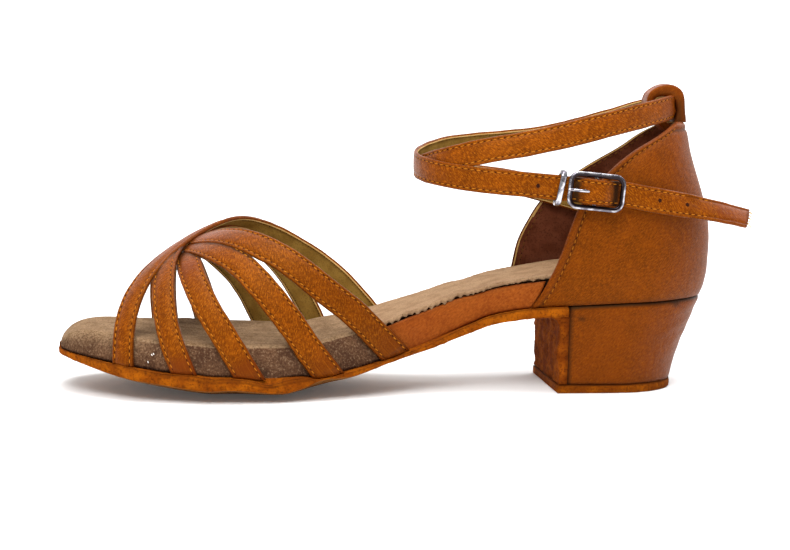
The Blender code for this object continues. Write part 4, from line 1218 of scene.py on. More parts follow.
def make_flap():
    """The outsole's end that is folded down over the heel breast."""
    front = BREAST + FLAP_THICKNESS
    tip = LIFT_THICKNESS + GAP
    crown = sole_line(front) + 0.5
    columns = np.linspace(-1, 1, 33)
    rings = []
    wear_and_shade = []
    for z in [crown - (crown - tip) * share for share in np.linspace(0, 1, 34)]:
        half = heel_half_width(min(z, HEEL_HEIGHT)) + 0.15
        bend = min(0.98, max(0.0, (z - (crown - FLAP_FILLET)) / FLAP_FILLET))
        bend = FLAP_FILLET * (1 - math.sqrt(1 - bend * bend))
        ring = []
        for v in columns:
            y = v * half
            rough = 0.42 * noise(y, z, 12) + 0.3 * noise(y / 5, z / 5, 13)
            lump = 1.3 * math.exp(-(((y - half * 0.92) / 4.0) ** 2 + ((z - 15.0) / 3.0) ** 2))
            ring.append((front + rough + lump + bend, y, z))
            wear_and_shade.append(0.12 + 0.30 * noise(y / 3, z / 3, 15))
        for v in columns[::-1]:
            ring.append((BREAST + 0.1, v * half, z))
            wear_and_shade.append(0.35)
        rings.append(ring)
    return loft("outsole_flap", rings, [FLAP_LOOK], None, {"wear_and_shade": wear_and_shade})


INSOLE_STEPS = 6
TOE_ROUND_START = 193.5
TOE_ROUND_DROP = 8.0
TOE_RAISE = 1.5

# The insole's side, and its rounder side at the toe: place across, share of the way up, share of the side's
# painted shade
INSOLE_SIDE = (
    (-1.0, 0.0, 1.0), (-1.0, 0.12, 1.0), (-1.004, 0.26, 1.0), (-1.006, 0.42, 1.0), (-1.004, 0.58, 1.0),
    (-1.0, 0.74, 1.0), (-0.998, 0.84, 1.0), (-0.993, 0.90, 1.0), (-0.990, 0.915, 0.0), (-0.972, 0.965, -0.25),
    (-0.93, 0.995, 0.0), (-0.86, 1.0, 0.0),
)
TOE_SIDE = (
    (-1.0, 0.0, 0.95), (-1.0, 0.13, 0.95), (-1.0, 0.26, 0.9), (-0.997, 0.40, 0.85), (-0.990, 0.53, 0.75),
    (-0.978, 0.65, 0.55), (-0.960, 0.76, 0.35), (-0.935, 0.85, 0.2), (-0.900, 0.92, 0.1),
    (-0.860, 0.965, 0.0), (-0.820, 0.985, 0.0), (-0.780, 0.995, 0.0),
)


def toe_setback(x):
    return 0.35 * smooth_step(SOLE_LENGTH - SEAT_OVERHANG - 1.6, SOLE_LENGTH - SEAT_OVERHANG - 0.4, x)


def make_insole_look():
    middle = [(v, 1.0, 0.0) for v in np.linspace(-0.8, 0.8, 17)]
    flat = [(v, 1.0, 0.0) for v in np.linspace(-0.72, 0.72, 17)]
    square_columns = list(INSOLE_SIDE) + middle + [(-v, up, mark) for v, up, mark in reversed(INSOLE_SIDE)]
    round_columns = list(TOE_SIDE) + flat + [(-v, up, mark) for v, up, mark in reversed(TOE_SIDE)]
    toe_end = SOLE_LENGTH - SEAT_OVERHANG
    rings = []
    wear_and_shade = []
    sides = []
    for inner, outer in sole_rows(SOLE_RIM, -SEAT_OVERHANG, SOLE_LENGTH, INSOLE_STEPS):
        ring = []
        toe = smooth_step(166.0, 188.0, (inner[0] + outer[0]) / 2)
        for one, other in zip(square_columns, round_columns):
            v, up, mark = (a * (1 - toe) + b * toe for a, b in zip(one, other))
            x, y = between(inner, outer, v)
            low = feather(x) + 0.1 - lip_drop(x, v) * smooth_step(0.96, 1.0, abs(v)) * (up < 0.9)
            high = footbed(x) - (SOCK_THICKNESS + 0.1) * smooth_step(SOCK_FRONT + 1.5, SOCK_FRONT - 1.5, x)
            tip = min(1.0, max(0.0, (x - TOE_ROUND_START) / (toe_end - TOE_ROUND_START)))
            high += TOE_RAISE * smooth_step(176.0, 194.0, x) - TOE_ROUND_DROP * (1 - math.sqrt(1 - tip * tip))
            high = max(high, low + 0.9)
            sign = 1 if v > 0 else -1
            near_side = abs(v) > 0.85
            nap = 0.22 * noise(x, up * 9 + v, 21) * near_side
            billow = 0.22 * noise(x / 11.0, up * 1.5 + v, 22) * near_side
            top_wave = 0.05 * noise(x / 14.0, v * 2.5, 23) * (1 - v * v) * (abs(v) < 0.95)
            ring.append((
                x - toe_setback(x), y - INSOLE_DRAFT * up * v + sign * (nap + billow),
                low + (high - low) * up + top_wave,
            ))
            # Painted shadow under the sock's lifted edge and painted shade at the foot of the side; the
            # scuffs are real wear.
            under_sock = smooth_step(SOCK_FRONT + 1.0, SOCK_FRONT - 3.0, x) * (up > 0.5) * (abs(v) > 0.95)
            scuff = 0.25 * bump_at(up, 0.3, 0.2) * max(0.0, noise(x / 8, v, 24))
            wear_and_shade.append(0.55 * (up < 0.10) + scuff + under_sock)
            sides.append(mark)
        for v in np.linspace(0.97, -0.97, 11):
            x, y = between(inner, outer, v)
            ring.append((x - toe_setback(x), y, feather(x) + 0.1 - cup(x, v)))
            wear_and_shade.append(0.8)
            sides.append(1.0)
        rings.append(ring)
    return loft("insole_pad", rings, [INSOLE_LOOK], None, {"wear_and_shade": wear_and_shade, "side": sides})


SOCK_STEPS = 40
SOCK_ROW_STEP = 0.42
PINK_PITCH = 2.5


def make_sock_look():
    """Sock lining with its pinked, slightly lifted edges."""
    inset = SOLE_RIM + INSOLE_DRAFT
    rows = []
    last = -999.0
    for a, b in zip(outline(-1, inset, SOCK_STEPS), outline(1, inset, SOCK_STEPS)):
        x = (a[0] + b[0]) / 2
        if abs(b[1] - a[1]) > END_WIDTH and x < SOCK_FRONT and x - last > SOCK_ROW_STEP:
            rows.append((a, b))
            last = x
    across = [-1.0, -0.985, -0.95, -0.85, -0.7, -0.5, -0.25, 0.0, 0.25, 0.5, 0.7, 0.85, 0.95, 0.985, 1.0]
    rings = []
    for a, b in rows:
        top = []
        low = []
        for v in across:
            x, y = between(a, b, v)
            edge = max(0.0, (abs(v) - 0.95) / 0.05) * smooth_step(20.0, 30.0, x)
            tooth = abs((((x + 1.1 * noise(x / 4.0, v, 35)) / PINK_PITCH) % 1.0) * 2 - 1)
            out = edge * (0.75 * tooth + 0.40 * noise(x / 2.3, v, 31) + 0.9)
            lift = edge * (0.10 + 0.22 * noise(x / 6.0, v * 3, 32)) * (v > 0)
            big = 0.45 + 0.65 * smooth_step(48.0, 66.0, x) + 0.3 * noise(x / 5.0, v, 36)
            hang = edge * (big * tooth + 0.45 * noise(x / 1.7, v, 34) - 0.1)
            wave = 0.03 * noise(x / 9.0, y / 9.0, 33) * (1 - v * v)
            sign = 1 if v > 0 else -1
            top.append((x, y + sign * out, footbed(x) + lift + wave))
            low.append((x, y + sign * out * 0.8, footbed(x) - SOCK_THICKNESS + lift - hang))
        rings.append(top + low[::-1])
    # The underside is darker: painted shade under the lifted, pinked edge.
    wear_and_shade = ([0.0] * len(across) + [0.12] * len(across)) * len(rings)
    return loft("sock_suede", rings, [SOCK_LOOK], None, {"wear_and_shade": wear_and_shade})


def make_cover_look(name, side):
    ups = np.linspace(0, 1, 15)
    rings = []
    wear_and_shade = []
    for share in np.linspace(0, 1, 71):
        out_row = []
        in_row = []
        for up in ups:
            start = counter_front(side, COVER_COUNTER_SHARE * up) + 3 * GAP - 0.8
            end = (COVER_FRONT_OUTER if side > 0 else COVER_FRONT_INNER) + COVER_FRONT_LEAN * up + 3.0
            x = start + (end - start) * share
            thin = smooth_step(end, end - 6.0, x)
            low = feather(x) + 0.1 - lip_drop(x, side)
            high = low + (footbed(x) - SOCK_THICKNESS - low) * 0.93
            z = low + (high - low) * up
            draft = INSOLE_DRAFT * (z - low) / (footbed(x) - low)
            y = half_width(side, x, SOLE_RIM) - draft + 0.15
            belly = 0.7 * math.sin(math.pi * min(1.0, up * 1.02)) ** 0.6
            ripple = 0.14 * noise(x / 4.0, up * 2.5, 41 + side)
            in_row.append((x, side * (y - 0.3), z))
            out_row.append((x, side * (y + (COVER_THICKNESS - 0.5) * thin + (belly + ripple) * thin), z))
            # Painted shade along the top edge under the sock and along the foot at the outsole; the hidden
            # inner face is darker still.
            wear_and_shade.append(0.5 * bump_at(up, 1.0, 0.12) + 0.4 * bump_at(up, 0.0, 0.08))
        rings.append(out_row + in_row[::-1])
        wear_and_shade += [0.9] * len(ups)
    red = ([0.25] * len(ups) + [0.2] * len(ups)) * len(rings)
    return loft(name, rings, [COVER_LOOK], None, {"wear_and_shade": wear_and_shade, "red": red})


# Heel
HEEL_MIDDLE = np.array((-5.0, 0.0))


def fine_heel_ring(z):
    """Plan of the heel at a height with rounded corners at the breast, as even points."""
    ring = heel_ring(z)
    back = curve(ring[:-2], 4)
    front_outer = np.array(ring[-2])
    front_inner = np.array(ring[-1])
    run_out = [back[-1] + (front_outer - back[-1]) * t for t in np.linspace(0.1, 1, 10)]
    across = [front_outer + (front_inner - front_outer) * t for t in np.linspace(0.1, 1, 10)]
    run_in = [front_inner + (back[0] - front_inner) * t for t in np.linspace(0.1, 0.9, 9)]
    return back + run_out + across + run_in


def make_heel_look():
    low = LIFT_THICKNESS + 0.1
    rings = []
    wear_and_shade = []
    shade = []
    for share in np.concatenate([np.linspace(0, 0.9, 34), np.linspace(0.92, 1.0, 8)]):
        ring = []
        for x, y in fine_heel_ring(low + (HEEL_HEIGHT - low) * share):
            z = low + (feather(x) - 0.1 - low) * share
            away = unit(np.array((x, y)) - HEEL_MIDDLE)
            tuck = 0.8 * max(0.0, (share - 0.93) / 0.07) ** 2 + 0.35 * max(0.0, (0.04 - share) / 0.04)
            back = smooth_step(-12.0, -26.0, x) * (1 if y > 0 else 0.6)
            folds = back * 0.10 * math.sin(z * 1.15 + 0.35 * x) * smooth_step(0.25, 0.6, share)
            move = folds + 0.12 * noise((x + y) / 7.0, z / 6.0, 51) - tuck
            ring.append((x + away[0] * move, y + away[1] * move, z))
            corner = smooth_step(BREAST - 1.1, BREAST - 0.3, x)
            gap = bump_at(x, -22.0, 1.6) * bump_at(share, 0.95, 0.035)
            slit = bump_at(x - (BREAST - 4.0), -0.45 * (HEEL_HEIGHT - z - 3.0), 0.40)
            nick = gap + slit * (HEEL_HEIGHT - 7.5 < z)
            shade.append(min(1.0, smooth_step(0.955, 0.99, share) + 0.85 * corner + 0.8 * nick * (y > 0)
                             + 0.5 * bump_at(share, 0.0, 0.012)))
            scuff = smooth_step(0.35, 0.0, share) * max(0.0, noise((x + y) / 5.0, z / 4.0, 52))
            # Painted shade at the top under the seat and at the foot above the lift; the scuffs low down are
            # real wear.
            wear_and_shade.append(0.45 * (share > 0.95) + 0.35 * bump_at(share, 0.0, 0.04) + 0.25 * scuff)
        rings.append(ring)
    return loft("heel_cover", rings, [SATIN], None, {"wear_and_shade": wear_and_shade, "red": [0.15] * len(wear_and_shade), "shade": shade})


def make_lift_look():
    front = BREAST + FLAP_THICKNESS + GAP
    plan = [(front if x > BREAST - 0.01 else x, y) for x, y in fine_heel_ring(LIFT_THICKNESS)]
    rings = []
    wear_and_shade = []
    for share in (0.0, 0.06, 0.2, 0.4, 0.6, 0.8, 0.94, 1.0):
        ring = []
        for k, (x, y) in enumerate(plan):
            away = np.array((x, y)) / math.hypot(x, y)
            swell = 0.20 * math.sin(math.pi * share) - 0.25 * (share in (0.0, 1.0))
            swell += 0.12 * noise(k / 1.3, share * 6, 61)
            ring.append((x + away[0] * swell, y + away[1] * swell, LIFT_THICKNESS * share))
            wear_and_shade.append(0.25 + 0.5 * (share > 0.9) + 0.3 * max(0.0, noise(k / 4.0, share * 3, 62)))
        rings.append(ring)
    return loft("heel_lift_suede", rings, [SOLE_EDGE_LOOK], None, {"wear_and_shade": wear_and_shade})


# Heel counter
EDGE_ROUND = 1.15
COUNTER_SEAM = 3.0


def to_wing_end(side, alongs, share):
    """Distance from places on the counter to the front edge of its wing."""
    run = run_along([counter_point(side, a, share, 0.0) for a in alongs])
    return run[-1] - run


def make_counter_look():
    ups = [*np.linspace(0, 0.94, 58), 0.955, 0.968, 0.978, 0.986, 0.992, 0.996, 0.999, 1.0]
    alongs = [*np.linspace(0, 0.93, 48), 0.945, 0.958, 0.970, 0.979, 0.987, 0.993, 0.997, 1.0]
    signed = [(-1, k) for k in range(len(alongs))[::-1]] + [(1, k) for k in range(1, len(alongs))]
    half_wall = COUNTER_WALL / 2
    outer = []
    inner = []
    wear_and_shade = []
    inner_darkening = []
    red = []
    shade = []
    rims = []
    for share in ups:
        reach = {side: to_wing_end(side, alongs, share) for side in (1, -1)}
        height = share * COUNTER_HEIGHT
        for side, k in signed:
            a = alongs[k]
            edge = min(reach[side][k] * 0.92, (1 - share) * COUNTER_HEIGHT + 0.001)
            rims.append(edge)
            roll = 1.0 if edge >= EDGE_ROUND else math.sqrt(max(0.0, 1 - (1 - edge / EDGE_ROUND) ** 2))
            fold = 0.25 * bump_at(edge, 1.3, 0.9)
            seam = 0.34 * bump_at(edge, COUNTER_SEAM, 0.42)
            soft = smooth_step(3.0, 9.0, edge) * 0.30 * noise(side * a * 6, share * 5, 71)
            tuck = 0.35 * bump_at(height, 0.0, 1.5)
            depth_out = half_wall - half_wall * roll - fold * roll + seam + tuck - soft
            depth_in = half_wall + half_wall * roll - soft - 0.2 * bump_at(edge, 1.9, 0.5)
            outer.append(counter_point(side, a, share, depth_out))
            inner.append(counter_point(side, a, share, depth_in))
            # Painted shade in the groove of the top seam and along the foot at the sole.
            wear_and_shade.append(0.80 * bump_at(edge, COUNTER_SEAM, 0.30) + 0.30 * bump_at(height, 0.0, 2.0))
            inner_darkening.append(0.2 + 0.3 * bump_at(edge, 0.0, 1.5))
            red.append(0.15 * bump_at(edge, 1.0, 1.2))
            shade.append(0.45 * bump_at(edge, COUNTER_SEAM - 0.35, 0.40))
    rows = len(ups)
    cols = len(signed)
    base = rows * cols
    faces = []
    mats = []
    for i in range(rows - 1):
        for j in range(cols - 1):
            a = i * cols + j
            faces.append((a, a + cols, a + cols + 1, a + 1))
            faces.append((base + a, base + a + 1, base + a + cols + 1, base + a + cols))
            mats += [0, 2 if 0.3 < rims[a] < 1.0 else 1]
    for a in [i * cols + j for i in range(rows - 1) for j in (0, cols - 1)]:
        faces.append((a, base + a, base + a + cols, a + cols))
    for a in range(cols - 1):
        faces.append((a, a + 1, base + a + 1, base + a))
        a += (rows - 1) * cols
        faces.append((a, base + a, base + a + 1, a + 1))
    mats += [0] * (len(faces) - len(mats))
    plain = [0.0] * len(red)
    obj = make_mesh("counter_satin", outer + inner, faces, [SATIN, COUNTER_LINING, LINING_EDGE], mats,
                    {"wear_and_shade": wear_and_shade + inner_darkening, "red": red + plain, "shade": shade + plain})
    for side in (1, -1):
        line = []
        normals = []
        for share in np.linspace(0.012, 0.985, 90):
            reach = to_wing_end(side, alongs, share)
            place = np.interp(COUNTER_SEAM * 1.08, reach[::-1], alongs[::-1])
            line.append(counter_point(side, place, share, -0.02))
            normals.append(unit(line[-1] - counter_point(side, place, share, 1.0)))
        sew(line, normals, kind="soft_thread")
        inside = [at - n * (COUNTER_WALL + 0.1) for at, n in zip(line, normals)]
        sew(inside, [-n for n in normals], kind="dark_thread")
    return face_out(obj)


# Ankle strap, loop and tab
ANKLE_STEPS = 6
STRAP_HOLES = (-22.0, 25.0, 36.5)
TAIL_FOLD = 15.0
BAND_ROUND = 0.6

# How far the strap is set back where it passes the loop, and the loop's top lowered
LOOP_SHIFT = 0.8
LOOP_DROP = 1.0
hole_places = []
frayed = []


def fine_ankle_rows():
    buckle = [(*point, 0.0) for point in buckle_wave()]
    rows = curve(ankle_points(ANKLE_ROUTE) + buckle + ankle_points(STRAP_TAIL), ANKLE_STEPS)
    line = [row[:3] for row in rows]
    widths = []
    out = []
    for i, row in enumerate(rows):
        along = unit(tangent(line, i))
        upright = unit(np.array((0.0, 0.0, 1.0)) - along * along[2])
        normal = np.cross(upright, along)
        away = 1 if np.dot(normal[:2], line[i][:2] - (ANKLE_MIDDLE, 0.0)) > 0 else -1
        lean = math.radians(row[3]) * away
        slant = smooth_step(len(rows) - 1 - ANKLE_STEPS, len(rows) - 1, i) * TAIL_SLANT
        widths.append(upright * math.cos(lean) - normal * math.sin(lean) + along * slant)
        out.append((normal * math.cos(lean) + upright * math.sin(lean)) * away)
    return line, widths, out


def make_ankle_look():
    line, widths, out = fine_ankle_rows()
    section, mats = strap_section(ANKLE_STRAP_WIDTH, ANKLE_STRAP_THICKNESS, 0.10)
    half = ANKLE_STRAP_WIDTH / 2
    lengths = run_along(line)
    total = lengths[-1]
    middle = lengths[int(np.argmin([np.linalg.norm(m - frame_place(0.0, 0.0, 0.0)) for m in line]))]
    line = [
        m - np.array((LOOP_SHIFT * smooth_step(-12.0, -22.0, m[0]) * (m[2] > 95.0), 0.0, 0.0)) for m in line
    ]
    rings = []
    wear_and_shade = []
    red = []
    shade = []
    for length, m, w, o in zip(lengths, line, widths, out):
        wave = 0.10 * noise(length / 4.0, 2.0, 81)
        from_bar = abs(abs(length - middle) - FRAME_LENGTH / 2 + FRAME_BAR + 1.0)
        back = bump_at(m[0], -24.6, 2.2)
        # Painted redder shade where the strap passes the loop.
        at_loop = 0.35 * bump_at(m[0], -22.0, 5.0) * (m[2] > 100)
        ring = []
        for a, b in section:
            crease = 0.35 * back * math.sin(a * 1.1 + 0.4) * (b > 0)
            ring.append(m + w * (a + wave * a / half) + o * (b + seam_pucker(length, a, half) - crease))
            hold = 0.6 * bump_at(length, total - TAIL_FOLD, 0.35)
            hold += 0.6 * bump_at(length, total - 10.5, 0.5) * bump_at(a, 0.3, 1.6)
            # Darker seams and edges, and the darker stretch behind the loop, are painted shade.
            wear_and_shade.append(seam_shade(a, half) + 0.25 * (abs(a) > half - 0.3) + hold + 0.3 * back)
            shade.append(bump_at(from_bar, 0.0, 1.9) * 1.1)
            red.append(0.40 * (total - length < TAIL_FOLD) + at_loop)
        rings.append(ring)
    across = [a for a, _ in section] * len(line)
    along = np.repeat(lengths, len(section))
    obj = loft("ankle_strap_satin", rings, [STRAP_SATIN, LINING_EDGE, LINING], mats,
               {"wear_and_shade": wear_and_shade, "red": red, "shade": shade, "across": across, "along": along})
    for place in STRAP_HOLES:
        i = int(np.argmin(np.abs(lengths - middle - place)))
        hole_places.append((line[i] + out[i] * (ANKLE_STRAP_THICKNESS * 0.54 + 0.12), widths[i], out[i]))
    rows = list(zip(line, widths, out))
    shown = rows[:int(np.sum(lengths < total - (TAIL_FOLD + 0.5)))]
    for side in (-1, 1):
        a = side * (half - STRAP_SEAM)
        height = ANKLE_STRAP_THICKNESS * 0.40 + 0.01
        sew([m + w * a + o * height for m, w, o in shown], [o for _, _, o in shown], offset=0.8 * (side > 0))
        depth = ANKLE_STRAP_THICKNESS * 0.48
        sew([m + w * a - o * depth for m, w, o in shown], [-o for _, _, o in shown], kind="dark_thread")
    end_rows = [
        row for row, length in zip(rows, lengths) if TAIL_FOLD - 0.1 < total - length < TAIL_FOLD + 1.4
    ]
    m, w, o = end_rows[len(end_rows) // 2]
    height = ANKLE_STRAP_THICKNESS * 0.52
    sew([m + w * a + o * height for a in np.linspace(-half + 1.4, half - 1.4, 12)], [o] * 12, pitch=2.0)
    ahead = unit(line[-1] - line[-3])
    for k in range(9):
        swing = 0.9 * noise(k * 1.7, 3.0, 83)
        way = ahead * math.cos(swing) + widths[-4] * math.sin(swing)
        start = line[-1] + widths[-1] * (half - 0.6) * (k / 4 - 1)
        frayed.append((start + ahead * 0.4 + out[-1] * 0.4 * math.sin(k * 2.1), way, out[-1]))
    return obj


def band_edge(middle, half_thickness, degrees):
    angle = math.radians(degrees)
    return middle + BAND_ROUND * math.cos(angle), half_thickness * math.sin(angle)


def plain_section(width, thickness, steps=9):
    """Points round a folded band with round edges."""
    half = width / 2
    flat = half - BAND_ROUND
    t = thickness / 2
    points = [(a, t * (1.0 + 0.12 * (1 - (a / half) ** 2))) for a in np.linspace(-flat, flat, steps)]
    points += [band_edge(flat, t, angle) for angle in (60, 30, 0, -30, -60)]
    points += [(a, -t) for a in np.linspace(flat, -flat, steps)]
    points += [band_edge(-flat, t, angle) for angle in (-120, -150, 180, 150, 120)]
    return points


def make_loop_look():
    top = counter_point(1, 0.0, 1.0, COUNTER_WALL / 2)
    route = []
    for a, b in BACK_LOOP:
        drop = LOOP_DROP * smooth_step(0.5, 0.95, b)
        route.append((top[0] + a * LOOP_LENGTH, 0.0, top[2] + GAP + b * LOOP_HEIGHT - drop))
    line = curve([(route[0][0], 0.0, route[0][2] - 1.0)] + route, 8)
    half = LOOP_WIDTH / 2
    sideways = np.array((0.0, 1.0, 0.0))
    rings = []
    wear_and_shade = []
    shade = []
    for i, m in enumerate(line):
        normal = unit(np.cross(sideways, tangent(line, i)))
        share = i / (len(line) - 1)
        ring = []
        for a, b in plain_section(LOOP_WIDTH, LOOP_THICKNESS):
            wrinkle = 0.16 * noise(share * 9, a / 2.5, 91)
            trough = 0.15 * bump_at(abs(a), half - 1.6, 0.5) * (b < 0)
            inside = 1.9 * bump_at(share, 0.40, 0.16) + 1.6 * smooth_step(0.18, 0.05, share) if b > 0 else 0.2
            swell = 1.25 + inside
            ring.append(m + sideways * a * (1 - 0.05 * share) + normal * (b * swell + wrinkle + trough))
            # Painted shade darkens the loop's edges and its rear arm.
            wear_and_shade.append(0.35 * bump_at(abs(a), half, 0.4) + 0.5 * bump_at(share, 0.86, 0.05)
                        + 0.4 * smooth_step(0.30, 0.14, share))
            shade.append(0.42 * smooth_step(0.32, 0.16, share)
                         + 0.25 * (b > 0) * smooth_step(0.7, 0.5, share))
        rings.append(ring)
    marks = {"wear_and_shade": wear_and_shade, "red": [0.45] * len(wear_and_shade), "shade": shade}
    return loft("back_loop_satin", rings, [STRAP_SATIN], None, marks)


def tab_route():
    bar = frame_place(0.0, CENTRE_BAR_DROP, 0.0)
    eye = CENTRE_BAR_RADIUS + TAB_EYE_CLEARANCE + TAB_THICKNESS / 2
    low_share = (bar[2] - TAB_WIDTH / 2 - feather(0.0)) / COUNTER_HEIGHT
    high_share = (bar[2] + TAB_WIDTH / 2 - feather(0.0)) / COUNTER_HEIGHT
    edge = counter_front(1, low_share)
    wall = wing_inside(edge - TAB_LENGTH / 2, high_share) - GAP - TAB_THICKNESS / 2
    route = [np.array((edge + x, wall + y)) for x, y in TAB_ROUTE]
    for angle in (5, 40, 80, 120, 160, 200, 240, 275):
        turn = math.radians(angle)
        route.append(np.array((bar[0] + eye * math.cos(turn), bar[1] + eye * math.sin(turn))))
    return route, bar


# Buckle
def smooth_ring(half_length, half_height, corner, steps=7):
    ring = []
    for cx, cy, start in ((1, 1, 0), (-1, 1, 90), (-1, -1, 180), (1, -1, 270)):
        for k in range(steps):
            angle = math.radians(start + 90 * k / (steps - 1))
            ring.append((
                cx * (half_length - corner) + corner * math.cos(angle),
                cy * (half_height - corner) + corner * math.sin(angle),
                math.cos(angle), math.sin(angle),
            ))
    return ring


def closed_tube(name, points, side_ways, up_ways, half_side, half_up, count, dark_band_from=-2.0):
    """A closed ring of metal with a rounded section."""
    turns = [2 * math.pi * k / count for k in range(count)]
    section = [
        (half_side * math.copysign(abs(c) ** 0.75, c), half_up * math.copysign(abs(d) ** 0.75, d))
        for c, d in ((math.cos(angle), math.sin(angle)) for angle in turns)
    ]
    verts = [p + s * a + u * b for p, s, u in zip(points, side_ways, up_ways) for a, b in section]
    total = len(points)
    faces = []
    for i in range(total):
        near = i * count
        far = (i + 1) % total * count
        for k in range(count):
            after = (k + 1) % count
            faces.append((near + k, near + after, far + after, far + k))
    # Faces on the inner side of the section are marked for the painted dark reflection.
    inner = [1.0 if math.cos(angle) < dark_band_from else 0.0 for angle in turns] * total
    return face_out(make_mesh(name, verts, faces, [METAL], None, {"inner": inner}))


def frame_way(along, out, up):
    return frame_place(along, out, up) - frame_place(0.0, 0.0, 0.0)


def bar_of(name, points, radii, count=12):
    """A round metal bar along the given points."""
    rings = []
    for i, point in enumerate(points):
        along = unit(tangent(points, i))
        side = np.cross(along, (0.0, 1.0, 0.0))
        if np.linalg.norm(side) < 0.2:
            side = np.cross(along, (0.0, 0.0, 1.0))
        side = unit(side)
        rise = np.cross(side, along)
        rings.append([
            point + radii[i] * (math.cos(angle) * side + math.sin(angle) * rise)
            for angle in (2 * math.pi * k / count for k in range(count))
        ])
    return loft(name, rings, [METAL])


def make_buckle_look():
    ring = smooth_ring(FRAME_REACH, FRAME_HEIGHT / 2 - FRAME_BAR / 2, FRAME_CORNER - FRAME_BAR / 2, 9)
    points = [frame_place(x, 0.0, z) for x, z, _, _ in ring]
    sides = [frame_way(nx, 0.0, nz) for _, _, nx, nz in ring]
    ups = [frame_way(0.0, 1.0, 0.0)] * len(ring)
    return closed_tube("buckle_metal", points, sides, ups, FRAME_BAR / 2, FRAME_THICKNESS / 2, 20, 0.2)


def make_bar_look():
    reach = FRAME_HEIGHT / 2 - FRAME_BAR / 2
    drop = CENTRE_BAR_DROP
    half = [(0.2, reach), (drop * 0.7, reach), (drop, reach - 0.9)]
    route = [(out, -up) for out, up in half] + [(drop, 0.0)] + half[::-1]
    points = curve([frame_place(0.0, out, up) for out, up in route], 4)
    return bar_of("centre_bar_metal", points, [CENTRE_BAR_RADIUS] * len(points))


def make_prong_look():
    drop = CENTRE_BAR_DROP
    reach = FRAME_LENGTH / 2
    eye = CENTRE_BAR_RADIUS + 0.2 + PRONG_RADIUS
    face = FRAME_THICKNESS / 2
    route = curve([frame_place(along, out, 0.0) for along, out in (
        (-eye, drop - 0.2), (-eye * 0.7, drop + eye * 0.7), (0.0, drop + eye), (1.6, drop + eye + 0.3),
        (HOLE_PLACES[-1], face + 0.9), (PRONG_MIDDLE, face + GAP + PRONG_RADIUS + 0.5),
        (reach - FRAME_BAR, face + GAP + PRONG_RADIUS), (reach + 0.3, face + GAP + PRONG_RADIUS - 0.1),
    )], 5)
    count = len(route)
    radii = [PRONG_RADIUS * (1.12 - 0.30 * i / count) for i in range(count)]
    radii[-1] *= 0.55
    radii[-2] *= 0.85
    return bar_of("prong_metal", route, radii)


def make_keeper_look():
    half_height = ANKLE_STRAP_WIDTH / 2 + KEEPER_CLEARANCE + KEEPER_WIRE
    half_depth = ANKLE_STRAP_THICKNESS / 2 + KEEPER_CLEARANCE + KEEPER_WIRE
    ring = smooth_ring(half_height, half_depth, half_depth * 0.85, 7)
    points = [frame_place(KEEPER_PLACE + KEEPER_LEAN * up, STRAP_UNDER + out, up) for up, out, _, _ in ring]
    sides = [frame_way(0.0, ny, nx) for _, _, nx, ny in ring]
    ups = [frame_way(1.0, 0.0, 0.0)] * len(ring)
    return closed_tube("keeper_metal", points, sides, ups, KEEPER_WIRE, KEEPER_WIRE * 1.6, 12)


def make_tab_look():
    route, bar = tab_route()
    slope = math.tan(math.radians(FRAME_TILT))
    line = [np.array((x, y, bar[2] + (x - bar[0]) * slope)) for x, y in curve(route, 6)]
    up = frame_way(0.0, 0.0, 1.0)
    section = plain_section(TAB_WIDTH, TAB_THICKNESS, 7)
    rings = []
    for i, m in enumerate(line):
        normal = unit(np.cross(up, tangent(line, i)))
        rings.append([m + up * a + normal * b for a, b in section])
    count = len(rings) * len(section)
    return loft("tab_satin", rings, [STRAP_SATIN], None, {"wear_and_shade": [0.35] * count, "red": [0.5] * count})


# Putting the shoe together
dress(make_outsole_look(), ["outsole"])
dress(make_flap(), [])
dress(make_insole_look(), ["insole"])
dress(make_sock_look(), ["sock_lining"])
dress(make_cover_look("cover_outer", 1), ["waist_cover_outer"])
dress(make_cover_look("cover_inner", -1), ["waist_cover_inner"])
dress(make_heel_look(), ["heel_block"])
dress(make_lift_look(), ["heel_lift"])
dress(make_counter_look(), ["heel_counter"])
for number, (layer, share, route) in enumerate(VAMP_STRAPS):
    dress(make_vamp_look(number, layer, share, route), ["vamp_straps"])
dress(make_ankle_look(), ["ankle_strap"])
dress(make_loop_look(), ["back_loop"])
dress(make_tab_look(), ["buckle_tab"])
dress(make_buckle_look(), ["buckle_frame"])
dress(make_bar_look(), [])
dress(make_prong_look(), ["buckle_prong"])
dress(make_keeper_look(), ["strap_keeper"])
for name, kind, height, mat in (
    ("stitches", "thread", STITCH_HEIGHT, THREAD),
    ("counter_stitches", "soft_thread", STITCH_HEIGHT, SOFT_THREAD),
    ("lining_stitches", "dark_thread", STITCH_HEIGHT * 0.7, DARK_THREAD),
):
    dress(repeat(name, stitch_rows[kind], STITCH_LENGTH, STITCH_WIDTH, height, mat), [])
# The needle holes are dark bodies of painted shade.
dress(repeat("needle_holes", stitch_rows["hole"], 0.55, 0.46, 0.14, HOLE_SHADE), [])
dress(repeat("frayed_threads", frayed, 4.4, 0.42, 0.36, PALE_THREAD), [])
specks = []
for x, share in ((173.2, 0.52), (172.6, 0.56), (174.6, 0.25)):
    at = np.array((x, half_width(1, x, SOLE_RIM) - INSOLE_DRAFT * share + 0.25,
                   feather(x) + (footbed(x) - feather(x)) * share))
    specks.append((at, np.array((0.4, 0.0, 0.9)), np.array((0.0, 1.0, 0.0))))
dress(repeat("specks", specks, 0.9, 0.4, 0.3, SPECK), [])
# The strap's holes are dark bodies of painted shade.
dress(repeat("strap_holes", hole_places, 1.7, 1.5, 0.18, HOLE_SHADE), [])


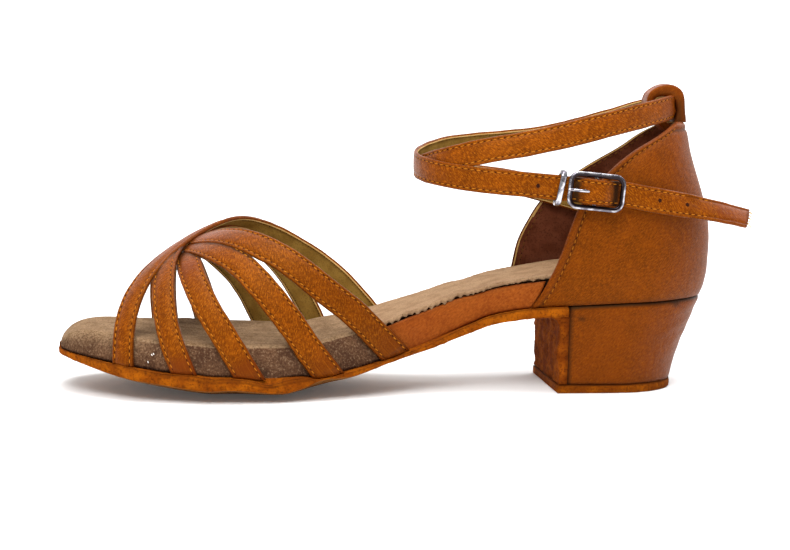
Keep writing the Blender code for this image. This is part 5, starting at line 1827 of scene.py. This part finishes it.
# Floor, light and camera
def area(name, place, target, size, power, colour=(1.0, 1.0, 1.0)):
    data = bpy.data.lights.new(name, "AREA")
    data.shape = "RECTANGLE"
    data.size, data.size_y = size
    data.energy = power
    data.color = colour
    lamp = linked(name, data)
    lamp.location = place
    lamp.rotation_euler = (Vector(target) - Vector(place)).to_track_quat("-Z", "Y").to_euler()


def sheet(name, corners, roughness, specular, grey):
    """A large plain face that glows with strength 1, and its look."""
    mesh = bpy.data.meshes.new(name)
    mesh.from_pydata(corners, [], [(0, 1, 2, 3)])
    look = Look(name + "_paper", roughness, specular)
    look.base((grey,) * 3)
    look.put("Emission Strength", 1.0)
    mesh.materials.append(look.mat)
    return linked(name, mesh), look


floor, floor_look = sheet("floor", [(-6, -6, 0), (6, -6, 0), (6, 6, 0), (-6, 6, 0)], 0.9, 0.1, 0.88)
distance = add_node(floor_look.tree, "ShaderNodeVectorMath", {"operation": "LENGTH"}, {0: floor_look.place})
far = Value(floor_look.tree, distance.outputs["Value"]).spread(0.22, 0.75)
floor_look.put("Emission Color", floor_look.mix(far, (0.05, 0.05, 0.05), (0.75, 0.75, 0.75)))

screen, screen_look = sheet("screen", [(-6, -4, -0.5), (6, -4, -0.5), (6, -4, 6), (-6, -4, 6)], 1.0, 0.0, 0.8)
screen_look.put("Emission Color", (1.0, 1.0, 1.0, 1.0))

WORLD_STRENGTH = 0.45
world = bpy.data.worlds.new("studio")
bpy.context.scene.world = world
world.use_nodes = True
world.node_tree.nodes["Background"].inputs["Color"].default_value = (1.0, 1.0, 1.0, 1.0)
world.node_tree.nodes["Background"].inputs["Strength"].default_value = WORLD_STRENGTH

SHOE_MIDDLE = (0.08, 0.0, 0.04)
area("key", (0.35, 0.9, 1.0), SHOE_MIDDLE, (0.6, 0.6), 14.0)
area("top", (0.0, 0.1, 1.3), SHOE_MIDDLE, (1.0, 0.8), 17.0)
area("rim", (-0.7, -0.5, 0.7), SHOE_MIDDLE, (0.6, 0.6), 4.0)

AZIMUTH = 172.8
ELEVATION = 6.6
DISTANCE = 690.0
ROLL = 0.8
LENS = 82.9
TARGET = (82.0, 0.0, 42.0)

camera_data = bpy.data.cameras.new("camera")
camera_data.lens = LENS
camera_data.sensor_width = 36.0
camera_data.clip_start = 0.01
camera = linked("camera", camera_data)
turn = math.radians(AZIMUTH)
rise = math.radians(ELEVATION)
back = Vector((math.sin(turn) * math.cos(rise), -math.cos(turn) * math.cos(rise), math.sin(rise)))
camera.location = (Vector(TARGET) + back * DISTANCE) * MM
level = Vector((0.0, 0.0, 1.0)).cross(back).normalized()
upward = back.cross(level)
lean = math.radians(ROLL)
right = level * math.cos(lean) + upward * math.sin(lean)
top_way = upward * math.cos(lean) - level * math.sin(lean)
turned = Matrix((right, top_way, back)).transposed()
camera.rotation_euler = turned.to_euler()
bpy.context.scene.camera = camera

view = bpy.context.scene.view_settings
view.view_transform = "Standard"
view.look = "None"
view.exposure = 0.0
bpy.context.scene.cycles.use_denoising = True
